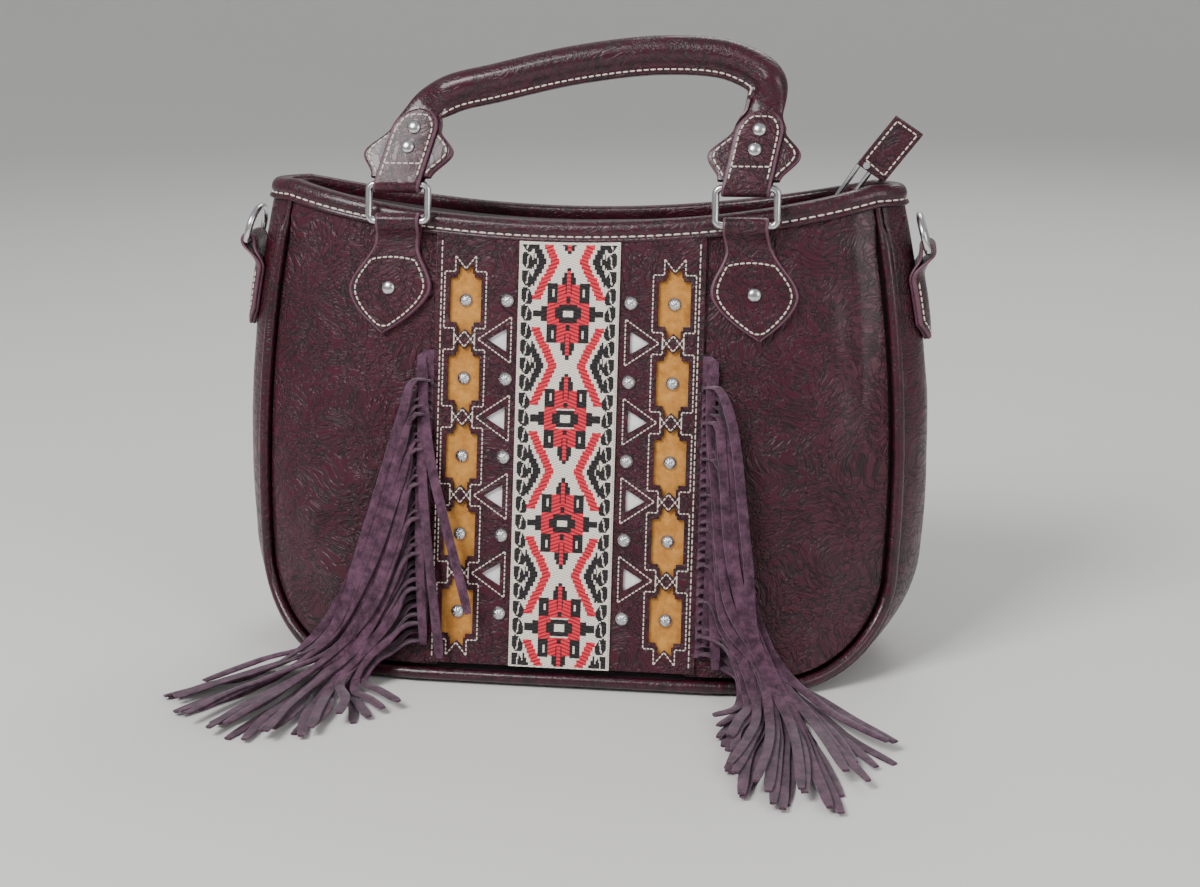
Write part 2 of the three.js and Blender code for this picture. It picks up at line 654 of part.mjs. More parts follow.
// Woven ribbon: raised stepped flowers, zigzags between them and leaves along the edges
function flowerPoints(y0) {
  const quarter = [[17, 1.6], [13.5, 1.6], [13.5, 4.4], [10.6, 4.4], [10.6, 14.6], [4.2, 14.6],
    [4.2, 18], [1.6, 18], [1.6, 22.5]];
  const upper = [...quarter, ...quarter.map(([x, y]) => [-x, y]).reverse()];
  const lower = upper.map(([x, y]) => [-x, -y]);
  return [...upper, ...lower].map(([x, y]) => [x, y0 + y]);
}

function zigzag(x0, y0, x1, y1) {
  const w = 1.7;
  return outline([[x0 - w, y0], [x0 + w, y0], [x1 + w, y1], [x1 - w, y1]]);
}

function ribbon() {
  const half = RIBBON_WIDTH / 2;
  const base = overlayFront + GAP;
  const pieces = [extrude(band(-half, half), RIBBON_THICK, base)];
  const face = base + RIBBON_THICK - 0.2;
  const raise = (shape) => extrude(shape, RELIEF + 0.2, face);
  const top = bandTop(0) - 1;
  for (let y = FLOWER_FIRST; y < top - 23; y += FLOWER_PITCH) {
    pieces.push(raise(outline(flowerPoints(y))));
    const waist = y + FLOWER_PITCH / 2;
    for (const side of [LEFT, RIGHT]) {
      pieces.push(raise(zigzag(side * 15.5, y + 7, side * 5.5, waist)));
      if (y + FLOWER_PITCH < top - 23) {
        pieces.push(raise(zigzag(side * 5.5, waist, side * 15.5, waist + FLOWER_PITCH / 2 - 7)));
      }
    }
  }
  for (let y = bandBottom + 8; y < top - 6; y += FLOWER_PITCH / 4) {
    for (const side of [LEFT, RIGHT]) {
      const x = side * 21.4;
      pieces.push(raise(outline([[x - 1.7, y - 1], [x, y - 4], [x + 1.7, y + 1], [x, y + 4]])));
    }
  }
  return unite(pieces);
}
add('ribbon_band', ribbon(), ribbonCream, frontFrame);

// Swept wire along a closed flat path of [x, v] points, in the plane of x and v
function wireLoop(points, radius, sides = 6) {
  const n = points.length;
  return loft(points.map(([x, v], i) => {
    const [bx, bv] = points[(i + n - 1) % n];
    const [ax, av] = points[(i + 1) % n];
    const along = new THREE.Vector2(ax - bx, av - bv).normalize();
    return steps(sides).slice(1).map((t) => {
      const angle = (t + 0.5 / sides) * Math.PI * 2;
      const side = radius * Math.cos(angle);
      return vec(x + along.y * side, radius * Math.sin(angle), v - along.x * side);
    });
  }), true);
}

function roundedRectangle(width, height, corner, arcSteps = 3) {
  const points = [];
  const spots = [[width / 2 - corner, height - corner, 0], [-width / 2 + corner, height - corner, 1],
    [-width / 2 + corner, corner, 2], [width / 2 - corner, corner, 3]];
  for (const [x, v, turn] of spots) {
    for (const t of steps(arcSteps)) {
      const angle = (turn + t) * Math.PI / 2;
      points.push([x + corner * Math.cos(angle), v + corner * Math.sin(angle)]);
    }
  }
  return points;
}

// Tab: leather folded round a ring bar at b = 0 and sewn flat below it
const loopInner = WIRE + WIRE_PLAY;
const loopOuter = loopInner + LEAF;
const loopProud = BINDING_PROUD + loopOuter + 0.6;
const tabThick = 2 * LEAF;

function tab(surface, length, halfWidthAt, axis, axisGeometry) {
  const blend = (b) => smoothstep(b, 4, 13);
  const body = slab(steps(4, -1, 1), steps(8), (u, v, layer) => {
    const b = v * length;
    const inner = lerp(loopProud - loopOuter, GAP, blend(b));
    const outer = lerp(loopProud + loopOuter, GAP + tabThick, smoothstep(b, 0, 13));
    return surface(u * halfWidthAt(b), b, layer === 0 ? outer : inner);
  });
  const tube = axisGeometry(loopOuter, 2 * halfWidthAt(0)).translate(axis.x, axis.y, axis.z);
  const hole = axisGeometry(loopInner, 4 * halfWidthAt(0)).translate(axis.x, axis.y, axis.z);
  return cut(unite([body, tube]), hole);
}

function shieldHalf(b) {
  if (b < 12) return TAB_NECK;
  if (b < 30) return lerp(TAB_NECK, TAB_HALF, smoothstep(b, 12, 30));
  const t = (b - 30) / (TAB_LENGTH - 30);
  return Math.max(0.6, TAB_HALF * (1 - t ** 1.5));
}

// Rivet with a domed head; its axis is z, the head's base at z = 0, the shank below it
function rivet(shank) {
  const dome = [[0, -shank], [SHANK, -shank], [SHANK, 0], [RIVET_RADIUS, 0],
    [RIVET_RADIUS * 0.8, RIVET_HEIGHT * 0.7], [0, RIVET_HEIGHT]];
  return new THREE.LatheGeometry(dome.map(([r, h]) => new THREE.Vector2(r, h)), 8).rotateX(Math.PI / 2);
}

// Frame that stands on a surface point with z along its outward direction
function standOn(geometry, foot, outward) {
  const turn = new THREE.Quaternion().setFromUnitVectors(vec(0, 0, 1), outward);
  return geometry.clone().applyQuaternion(turn).translate(foot.x, foot.y, foot.z);
}

function handleTab(face, side) {
  const z0 = rimHeight(TAB_X) - TAB_AXIS_DROP;
  const surface = (a, b, t) => facePoint(face, side * (TAB_X + b * TAB_SPLAY) + a, z0 - b, t);
  const axis = facePoint(face, side * TAB_X, z0, loopProud);
  const foot = surface(0, TAB_RIVET_DROP, GAP + tabThick + GAP);
  const outward = surface(0, TAB_RIVET_DROP, 1).sub(surface(0, TAB_RIVET_DROP, 0)).normalize();
  const bore = cylinderY(SHANK + SHANK_PLAY, BORE_LENGTH).rotateX(Math.PI / 2);
  const body = tab(surface, TAB_LENGTH, shieldHalf, axis, cylinderX);
  return {
    axis,
    body: cut(body, standOn(bore, foot, outward)),
    rivet: standOn(rivet(tabThick), foot, outward),
  };
}

// Handle assembly in its own frame: x across, z up the handle, y outward from the bag
function ring() {
  return wireLoop(roundedRectangle(RING_WIDTH, RING_HEIGHT, RING_CORNER, 3), WIRE);
}

function shearX(geometry, amount) {
  const matrix = new THREE.Matrix4().set(1, 0, amount, 0, 0, 1, 0, 0, 0, 0, 1, 0, 0, 0, 0, 1);
  return geometry.applyMatrix4(matrix);
}

function strapBores(amount) {
  return STRAP_RIVETS.map((height) => {
    return cylinderY(SHANK + SHANK_PLAY, BORE_LENGTH).translate(amount * height, 0, height);
  });
}

function strap(amount) {
  const profile = new THREE.Shape();
  profile.moveTo(loopOuter, STRAP_LENGTH);
  profile.lineTo(loopOuter, 0);
  profile.absarc(0, 0, loopOuter, 0, Math.PI, true);
  profile.lineTo(-loopOuter, STRAP_LENGTH);
  profile.lineTo(-loopInner, STRAP_LENGTH);
  profile.lineTo(-loopInner, 0);
  profile.absarc(0, 0, loopInner, Math.PI, 0, false);
  profile.lineTo(loopInner, STRAP_LENGTH);
  const hairpin = extrude(profile, STRAP_WIDTH, -STRAP_WIDTH / 2, 6);
  const upright = new THREE.Matrix4().makeBasis(vec(0, 1, 0), vec(0, 0, 1), vec(1, 0, 0));
  hairpin.applyMatrix4(upright);
  const half = STRAP_WIDTH / 2;
  const shape = new THREE.Shape();
  shape.moveTo(-half, -loopOuter - 1);
  shape.lineTo(half, -loopOuter - 1);
  shape.lineTo(half, STRAP_LENGTH - half);
  shape.absarc(0, STRAP_LENGTH - half, half, 0, Math.PI, false);
  const trim = extrude(shape, 4 * loopOuter, -2 * loopOuter, 5).rotateX(Math.PI / 2);
  const trimmed = shearX(meet(hairpin, trim), amount);
  return strapBores(amount).reduce(cut, trimmed);
}

function strapRivet() {
  const depth = 2 * loopOuter + GAP;
  return rivet(depth).rotateX(Math.PI / 2).translate(0, -loopOuter - GAP, 0);
}

// Handle stations: [x, z, half width, half thickness, keel depth]
const padStations = [[3.6, 15], [16, 22.5], [29, 12.5]];
function handleStations(leftShear, rightShear, arch) {
  const pads = (side, amount) => padStations.map(([z, w]) => {
    return [side * TAB_X + amount * z, z, w, PAD_HALF_THICK, 0];
  });
  return [...pads(LEFT, leftShear), ...arch, ...pads(RIGHT, rightShear).reverse()];
}

const tubeStation = ([x, z]) => [x, z, TUBE_RADIUS, TUBE_RADIUS, KEEL];
const throat = ([x, z]) => [x, z, TUBE_RADIUS + 0.6, PAD_HALF_THICK, KEEL / 2];

function handle(stations, shears) {
  const spline = (pick) => {
    return new THREE.CatmullRomCurve3(stations.map((s) => vec(...pick(s))), false, 'centripetal');
  };
  const line = spline(([x, z]) => [x, 0, z]);
  const count = 24;
  const size = (t, field) => {
    const place = t * (stations.length - 1);
    const i = Math.min(Math.floor(place), stations.length - 2);
    return lerp(stations[i][field], stations[i + 1][field], smoothstep(place - i, 0, 1));
  };
  const sections = steps(count).map((t) => {
    const p = line.getPoint(t);
    const along = line.getTangent(t).normalize();
    const flat = 1 - smoothstep(p.z, 24, 46);
    const perpendicular = vec(-along.z, 0, along.x);
    const across = perpendicular.clone().lerp(vec(-Math.sign(along.z || 1), 0, 0), flat).normalize();
    const w = size(t, 2);
    const e = size(t, 3);
    const keel = size(t, 4);
    const square = lerp(1, 0.25, flat);
    const ring = [];
    for (const angle of [28, 65, 100, 140, 180, 220, 260, 295, 332]) {
      const c = Math.cos(angle * DEG);
      const s = Math.sin(angle * DEG);
      ring.push([-w * Math.sign(c) * Math.abs(c) ** square, e * Math.sign(s) * Math.abs(s) ** square]);
    }
    const lip = Math.min(KEEL_HALF, e);
    ring.push([-(w + keel), -lip], [-(w + keel), lip]);
    return ring.map(([a, b]) => p.clone().addScaledVector(across, a).add(vec(0, b, 0)));
  });
  const body = loft(sections);
  const bores = [LEFT, RIGHT].flatMap((side, i) => {
    return strapBores(shears[i]).map((bore) => bore.translate(side * TAB_X, 0, 0));
  });
  return bores.reduce(cut, body);
}

function handleSet(face, word, ringAngle, handleAngle, shears, arch) {
  const tabs = [LEFT, RIGHT].map((side) => handleTab(face, side));
  const turn = (degrees) => face * degrees * DEG;
  const axis = tabs[0].axis;
  const rings = new THREE.Group();
  rings.position.set(0, axis.y, axis.z);
  rings.rotation.x = -turn(ringAngle);
  bag.add(rings);
  const upper = new THREE.Group();
  const outward = face * Math.sin(ringAngle * DEG) * RING_HEIGHT;
  upper.position.set(0, axis.y + outward, axis.z + Math.cos(ringAngle * DEG) * RING_HEIGHT);
  upper.rotation.x = -turn(handleAngle);
  bag.add(upper);
  const grip = handle(handleStations(shears[0], shears[1], arch), shears);
  add(`${word}_handle`, face === FRONT ? grip : grip.rotateZ(Math.PI), darkLeather, upper);
  [LEFT, RIGHT].forEach((side, i) => {
    const label = side === LEFT ? 'left' : 'right';
    const local = face === FRONT ? side : -side;
    const amount = shears[local === LEFT ? 0 : 1];
    add(`${word}_${label}_tab`, tabs[i].body, burgundy);
    add(`${word}_${label}_tab_rivet`, tabs[i].rivet, nickel);
    add(`${word}_${label}_ring`, ring().translate(side * TAB_X, 0, 0), nickel, rings);
    const around = (geometry) => (face === FRONT ? geometry : geometry.rotateZ(Math.PI));
    add(`${word}_${label}_strap`, around(strap(amount)).translate(side * TAB_X, 0, 0), burgundy, upper);
    STRAP_RIVETS.forEach((height, k) => {
      const at = strapRivet().translate(amount * height, 0, height);
      add(`${word}_${label}_strap_rivet_${k + 1}`, around(at).translate(side * TAB_X, 0, 0), nickel, upper);
    });
  });
  return axis;
}

const frontShears = [0.25, 0.18];
const frontArch = [throat([-75.5, 39]), tubeStation([-64, 48]), tubeStation([-40, 54.5]),
  tubeStation([0, 64]), tubeStation([45, 69]), tubeStation([78, 65.5]), tubeStation([95, 54]),
  throat([93.6, 39])];
const backArch = [throat([-86, 39]), tubeStation([-84, 50]), tubeStation([-66, 61]),
  tubeStation([-34, 68]), tubeStation([0, 70]), tubeStation([34, 68]), tubeStation([66, 61]),
  tubeStation([84, 50]), throat([86, 39])];
handleSet(FRONT, 'front', FRONT_RING_ANGLE, FRONT_HANDLE_ANGLE, frontShears, frontArch);
handleSet(BACK, 'back', BACK_RING_ANGLE, BACK_HANDLE_ANGLE, [0, 0], backArch);

// Side tabs and their rings, in the middle of the gusset
for (const [side, word] of [[LEFT, 'left'], [RIGHT, 'right']]) {
  const station = (z) => {
    const t = (END_HEIGHT - PANEL_TOP - z) / (END_HEIGHT - PANEL_TOP - cornerZ);
    return side === LEFT ? t : 5 - t;
  };
  const surface = (a, b, t) => {
    const z = SIDE_TAB_Z - b;
    const deep = faceDepth(seamX(z), z);
    return gussetPoint(station(z), a / deep, t);
  };
  const axis = gussetPoint(station(SIDE_TAB_Z), 0, loopProud);
  const taper = (b) => clamp((b - SIDE_TAB_LENGTH) / SIDE_TAB_TAPER + 1, 0, 1);
  const half = (b) => lerp(SIDE_TAB_HALF, SIDE_TAB_TIP, taper(b));
  const axisY = (radius, length) => cylinderY(radius, length, 12);
  add(`${word}_side_tab`, tab(surface, SIDE_TAB_LENGTH, half, axis, axisY), burgundy);
  const frame = new THREE.Group();
  frame.position.copy(axis);
  frame.rotation.y = -side * SIDE_RING_TILT * DEG;
  bag.add(frame);
  const arch = [];
  const w = SIDE_RING_WIDTH / 2;
  arch.push([-w + 2, 0], [w - 2, 0], [w, 2.5]);
  for (const t of steps(8)) {
    const angle = t * Math.PI;
    arch.push([w * Math.cos(angle), SIDE_RING_LEG + (SIDE_RING_HEIGHT - SIDE_RING_LEG) * Math.sin(angle)]);
  }
  arch.push([-w, 2.5]);
  add(`${word}_side_ring`, wireLoop(arch, WIRE).rotateZ(Math.PI / 2), nickel, frame);
}

// Zip: two tapes edged with coils, sewn to the binding's inner lip, with a slot for the slider's post
const zipY = middleY(ZIP_HEIGHT);
function stringer(face) {
  const outer = (x) => {
    const height = rimHeight(x) - 5.5;
    const at = facePoint(face, x, height);
    const clear = -lipBack + GAP + 0.8;
    return vec(x, at.y - face * clear * 1.04, height);
  };
  const inner = (x) => vec(x, zipY + face * (ZIP_SLOT + COIL_WIDTH - COIL_LAP), ZIP_HEIGHT);
  const tape = slab(steps(8, -zipHalf, zipHalf), steps(2), (x, v, layer) => {
    const p = outer(x).lerp(inner(x), v);
    p.z += layer === 0 ? TAPE_THICK / 2 : -TAPE_THICK / 2;
    return p;
  });
  const coil = new THREE.BoxGeometry(2 * zipHalf - 2, COIL_WIDTH, COIL_THICK);
  coil.translate(0, zipY + face * (ZIP_SLOT + COIL_WIDTH / 2), ZIP_HEIGHT);
  return unite([tape, coil]);
}
add('zip_stringer_front', stringer(FRONT), zipTape);
add('zip_stringer_back', stringer(BACK), zipTape);

const sliderFrame = new THREE.Group();
sliderFrame.position.set(sliderX, zipY, ZIP_HEIGHT);
bag.add(sliderFrame);
const plateZ = COIL_THICK / 2 + GAP + SLIDER_PLATE / 2;
const bridgeZ = plateZ + SLIDER_PLATE / 2 + BRIDGE_RISE;
function slider() {
  const half = SLIDER_WIDTH / 2;
  const plate = outline([[-SLIDER_LENGTH / 2, -half + 1.5], [2, -half], [SLIDER_LENGTH / 2, -half + 2],
    [SLIDER_LENGTH / 2, half - 2], [2, half], [-SLIDER_LENGTH / 2, half - 1.5]]);
  const top = extrude(plate, SLIDER_PLATE, plateZ - SLIDER_PLATE / 2);
  const bottom = extrude(plate, SLIDER_PLATE, -plateZ - SLIDER_PLATE / 2);
  const post = new THREE.BoxGeometry(4, 2 * (ZIP_SLOT - GAP), 2 * plateZ).translate(3, 0, 0);
  const ears = [-3.2, 3.2].map((y) => {
    return new THREE.BoxGeometry(3.2, 1.4, BRIDGE_RISE + 2).translate(0, y, bridgeZ - BRIDGE_RISE / 2 + 0.6);
  });
  const bar = cylinderY(LINK_WIRE - 0.1, 7).translate(0, 0, bridgeZ);
  return unite([top, bottom, post, ...ears, bar]);
}
add('zip_slider', slider(), nickel, sliderFrame);

// Link: a long loop of wire round the slider's bar, with the fob's pin at its other end
const linkFrame = new THREE.Group();
linkFrame.position.set(sliderX, zipY, ZIP_HEIGHT + bridgeZ);
linkFrame.rotation.y = (90 - LINK_ANGLE) * DEG;
bag.add(linkFrame);
function link() {
  const bend = steps(5).map((t) => [LINK_HALF * Math.cos(t * Math.PI), LINK_HALF * Math.sin(t * Math.PI)]);
  const far = bend.map(([x, v]) => [x, LINK_LENGTH + v]);
  const near = bend.map(([x, v]) => [-x, -v]);
  return wireLoop([...far, ...near], LINK_WIRE);
}
add('zip_pull_link', link(), nickel, linkFrame);

// Fob: leather folded along its far edge, its two leaves joined by a pin through the link
const fobX = sliderX + Math.cos(LINK_ANGLE * DEG) * LINK_LENGTH;
const fobZ = ZIP_HEIGHT + bridgeZ + Math.sin(LINK_ANGLE * DEG) * LINK_LENGTH;
const fobFrame = new THREE.Group();
fobFrame.position.set(fobX, zipY, fobZ);
bag.add(fobFrame);
function fob() {
  const reach = LINK_WIRE + GAP;
  const c = Math.cos(FOB_ANGLE * DEG);
  const s = Math.sin(FOB_ANGLE * DEG);
  const corner = (a, b) => [c * (a + b), s * (a - b)];
  const sheet = outline([corner(-3, -FOB_LAP), corner(FOB_LENGTH - 3, -FOB_LAP),
    corner(FOB_LENGTH + 2, FOB_DEPTH), corner(2, FOB_DEPTH)]);
  const block = extrude(sheet, 2 * (reach + LEAF), -reach - LEAF).rotateX(Math.PI / 2);
  const past = 9;
  const foldAt = FOB_DEPTH - FOB_FOLD;
  const slot = outline([corner(-past, -past), corner(FOB_LENGTH + past, -past),
    corner(FOB_LENGTH + past, foldAt), corner(-past, foldAt)]);
  const gapBlock = extrude(slot, 2 * reach, -reach).rotateX(Math.PI / 2);
  const pin = cylinderY(LINK_WIRE - 0.1, 2 * reach + LEAF);
  return unite([cut(block, gapBlock), pin]);
}
add('zip_fob', fob(), burgundy, fobFrame);

// Fringe: a sewn root strip and strands that sweep outward, fall and lie on the floor
const scatter = (i, j) => {
  const wave = Math.sin(i * 12.9898 + j * 78.233) * 43758.5453;
  return wave - Math.floor(wave);
};

// Where the strands' tips lie, from the topmost strand's to the lowest one's
const leftTips = [[-172, -78], [-193, -112], [-184, -133], [-156, -150], [-130, -160], [-104, -150],
  [-72, -114]];
const rightTips = [[172, -101], [164, -145], [148, -200], [122, -207], [100, -190], [93, -150],
  [84, -112]];

function strandPath(side, i) {
  const a = i / (STRANDS - 1);
  const z0 = lerp(FRINGE_TOP - STRAND_WIDTH / 2, FRINGE_BOTTOM + STRAND_WIDTH / 2, a);
  const rootX = CENTRE_HALF + GAP + 1;
  const layer = (i % 4) * 1.9;
  const n1 = scatter(i, side + 2);
  const n2 = scatter(i, side + 5);
  const out = lerp(...(side === LEFT ? LEFT_SWEEP : RIGHT_SWEEP), a);
  const land = lerp(...(side === LEFT ? LEFT_LANDING : RIGHT_LANDING), a);
  const front = (x, z, proud) => facePoint(FRONT, side * x, z, proud);
  const points = [front(rootX, z0, 1.5), front(rootX + 7, z0 - 0.5, 2.8 + layer)];
  if (z0 > FRINGE_KNEE) {
    points.push(front(rootX + lerp(9, 14, n1), z0 - 16, 5 + layer));
    points.push(front(rootX + out * lerp(0.42, 0.62, n1), lerp(z0, 0, 0.52), 8 + layer));
  } else {
    points.push(front(rootX + 12 + 5 * n1, z0 * 0.72, 5 + layer));
  }
  const floor = STRAND_THICK / 2 + 0.2 + (i % 5) * 1.5;
  points.push(front(rootX + out * lerp(0.8, 1, n2), 22 * lerp(1, 0.5, a), 10 + layer));
  const tips = side === LEFT ? leftTips : rightTips;
  const place = Math.min(a * (tips.length - 1), tips.length - 1.001);
  const next = Math.floor(place);
  const tip = [0, 1].map((axis) => lerp(tips[next][axis], tips[next + 1][axis], place - next));
  const reach = lerp(0.86, 1, n1);
  const foot = vec(side * (rootX + land), faceY(FRONT, rootX + land, 0) - 12 - 10 * n2, floor);
  const endX = lerp(side * rootX, tip[0], reach);
  const endY = lerp(-BASE_DEPTH / 2, tip[1], reach);
  points.push(foot.clone().lerp(vec(endX, endY, floor), 0.25));
  points.push(foot.clone().lerp(vec(endX, endY, floor), 0.62).add(vec((n1 - 0.5) * 4, 0, 0)));
  points.push(vec(endX, endY, floor));
  return new THREE.CatmullRomCurve3(points, false, 'centripetal');
}

function strand(side, i) {
  const line = strandPath(side, i);
  const spot = [side * CENTRE_HALF * 4 / 3, FRINGE_TOP / 2];
  const outward = facePoint(FRONT, ...spot, 1).sub(facePoint(FRONT, ...spot, 0));
  return loft(steps(7).map((t) => {
    const p = line.getPointAt(t);
    const along = line.getTangentAt(t);
    const lying = 1 - smoothstep(p.z, 8, 30);
    const face = outward.clone().lerp(vec(0, 0, 1), lying).normalize();
    const across = vec(0, 0, 0).crossVectors(along, face).normalize();
    const normal = vec(0, 0, 0).crossVectors(across, along).normalize();
    const w = STRAND_WIDTH / 2 * (t === 1 ? 0.7 : 1);
    const h = STRAND_THICK / 2;
    const ring = [[-w, -h], [w, -h], [w, h], [-w, h]].map(([u, v]) => {
      return p.clone().addScaledVector(across, u).addScaledVector(normal, v);
    });
    for (const q of ring) q.z = Math.max(q.z, 0.12);
    return ring;
  }));
}

function fringe(side) {
  const from = CENTRE_HALF + GAP;
  const root = slab([0, 1], steps(6), (u, v, layer) => {
    const x = side * (from + u * ROOT_WIDTH);
    return facePoint(FRONT, x, lerp(FRINGE_BOTTOM, FRINGE_TOP, v), layer === 0 ? 2 : GAP);
  });
  const strands = Array.from({ length: STRANDS }, (_, i) => strand(side, i));
  return uniteFilled([root, ...strands]);
}
add('left_fringe', fringe(LEFT), plumSuede);
add('right_fringe', fringe(RIGHT), plumSuede);

export default bag;
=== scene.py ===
"""Looks of a fringed handbag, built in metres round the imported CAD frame.

Sizes are written in millimetres and scaled when a mesh is made. X is to the right, -Y towards the
viewer and +Z up; the origin is the centre of the flat base.
"""
import functools
import logging
import math
from collections.abc import Callable, Iterable, Sequence
from dataclasses import dataclass, field
from enum import Enum
from typing import Any

import bmesh
import bpy
from mathutils import Matrix, Quaternion, Vector, noise

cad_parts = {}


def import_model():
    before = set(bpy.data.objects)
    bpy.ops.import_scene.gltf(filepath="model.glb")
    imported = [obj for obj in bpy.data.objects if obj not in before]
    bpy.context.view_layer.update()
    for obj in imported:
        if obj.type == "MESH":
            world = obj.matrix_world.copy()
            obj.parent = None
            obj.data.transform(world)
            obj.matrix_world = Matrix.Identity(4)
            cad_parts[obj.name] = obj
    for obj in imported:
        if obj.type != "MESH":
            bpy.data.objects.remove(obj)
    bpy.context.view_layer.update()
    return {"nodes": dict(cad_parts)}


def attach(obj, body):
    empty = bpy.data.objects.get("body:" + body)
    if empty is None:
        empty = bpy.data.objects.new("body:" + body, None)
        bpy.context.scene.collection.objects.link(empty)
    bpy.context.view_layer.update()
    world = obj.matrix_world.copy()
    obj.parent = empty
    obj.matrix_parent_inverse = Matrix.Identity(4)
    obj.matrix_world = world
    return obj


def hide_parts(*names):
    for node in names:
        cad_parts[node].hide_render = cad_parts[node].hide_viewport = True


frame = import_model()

log = logging.getLogger("bag")

MM = 0.001
DEG = math.pi / 180
GAP = 0.3  # between pieces that touch
LEATHER = 2.0  # the walls' thickness
LINING = 1.0
LINING_PLAY = 0.9  # from the leather to the lining
BINDING_DEPTH = 8.8  # from the rim to the binding's lower edge

Point = Callable[[float, float, int], Vector]
Normal = Callable[[Vector], Vector] | Vector
Outline = Sequence[tuple[float, float]]


class Face(Enum):
    """Front or back of the bag, valued as the sign of Y."""

    FRONT = -1
    BACK = 1


class Side(Enum):
    """Left or right as the viewer sees the front, valued as the sign of X."""

    LEFT = -1
    RIGHT = 1

    @property
    def word(self) -> str:
        """The side's name in lower case."""
        return self.name.lower()


class Yarn(Enum):
    """Colours of the woven ribbon, valued as material indices."""

    CREAM = 0
    RED = 1
    BLACK = 2


# ---- numbers


def clamp(value: float, low: float = 0.0, high: float = 1.0) -> float:
    """Value held between low and high."""
    return min(max(value, low), high)


def lerp(start: float, end: float, share: float) -> float:
    """Straight mix of start and end."""
    return start + (end - start) * share


def smooth(value: float, low: float, high: float) -> float:
    """Smooth step from 0 at low to 1 at high."""
    t = clamp((value - low) / (high - low))
    return t * t * (3 - 2 * t)


def steps(count: int, start: float = 0.0, end: float = 1.0) -> list[float]:
    """Count + 1 even values from start to end."""
    return [lerp(start, end, i / count) for i in range(count + 1)]


def chain(*runs: tuple[int, float, float]) -> list[float]:
    """Even values along runs of count, start and end, each run starting where the last one ends."""
    return [runs[0][1], *(value for run in runs for value in steps(*run)[1:])]


@functools.cache
def circle(sides: int) -> tuple[tuple[float, float], ...]:
    """Cosine and sine of even angles round a circle."""
    return tuple((math.cos(angle), math.sin(angle)) for angle in steps(sides, 0, 2 * math.pi)[:-1])


def knots(value: float, xs: Sequence[float], ys: Sequence[Any]) -> Any:
    """Straight interpolation between given places.

    Args:
        value: the place that is wanted.
        xs: the given places, rising.
        ys: a number or vector at each of them.

    Returns:
        The number or vector at value, and the last one past the end.
    """
    for i in range(len(xs) - 1):
        if value <= xs[i + 1]:
            return lerp(ys[i], ys[i + 1], clamp((value - xs[i]) / (xs[i + 1] - xs[i])))
    return ys[-1]


def scatter(i: int, j: int) -> float:
    """A fixed value in 0..1 that looks random."""
    wave = math.sin(i * 12.9898 + j * 78.233) * 43758.5453
    return wave - math.floor(wave)


class Spline:
    """A centripetal Catmull-Rom curve through points."""

    def __init__(self, points: Sequence[Vector]) -> None:
        """Keeps the points and measures the curve.

        Args:
            points: at least two points that the curve passes through.
        """
        self.points = [Vector(p) for p in points]
        fine = [self.at(t) for t in steps(240)]
        self.lengths = [0.0]
        for a, b in zip(fine, fine[1:]):
            self.lengths.append(self.lengths[-1] + (b - a).length)

    def at(self, t: float) -> Vector:
        """The point at share t of the spans.

        Args:
            t: 0 at the first point and 1 at the last.

        Returns:
            The point.
        """
        pts = self.points
        last = len(pts) - 1
        place = clamp(t) * last
        i = min(int(place), last - 1)
        w = place - i
        p1, p2 = pts[i], pts[i + 1]
        p0 = pts[i - 1] if i > 0 else p1 * 2 - p2
        p3 = pts[i + 2] if i + 2 <= last else p2 * 2 - p1
        d0, d1, d2 = (max((b - a).length_squared, 1e-9) ** 0.25 for a, b in ((p0, p1), (p1, p2), (p2, p3)))
        m1 = ((p1 - p0) / d0 - (p2 - p0) / (d0 + d1) + (p2 - p1) / d1) * d1
        m2 = ((p2 - p1) / d1 - (p3 - p1) / (d1 + d2) + (p3 - p2) / d2) * d1
        c2 = p1 * -3 + p2 * 3 - m1 * 2 - m2
        c3 = p1 * 2 - p2 * 2 + m1 + m2
        return p1 + m1 * w + c2 * (w * w) + c3 * (w * w * w)

    def tangent(self, t: float) -> Vector:
        """The direction at share t."""
        return (self.at(min(t + 1e-4, 1)) - self.at(max(t - 1e-4, 0))).normalized()

    def even(self, u: float) -> float:
        """Turns a share of the length into one of the spans.

        Args:
            u: share of the curve's length.

        Returns:
            The share of the spans, for at and tangent.
        """
        want = clamp(u) * self.lengths[-1]
        low, high = 0, len(self.lengths) - 1
        while high - low > 1:
            middle = (low + high) // 2
            low, high = (middle, high) if self.lengths[middle] <= want else (low, middle)
        part = (want - self.lengths[low]) / max(self.lengths[high] - self.lengths[low], 1e-9)
        return (low + part) / (len(self.lengths) - 1)


# ---- shader kit


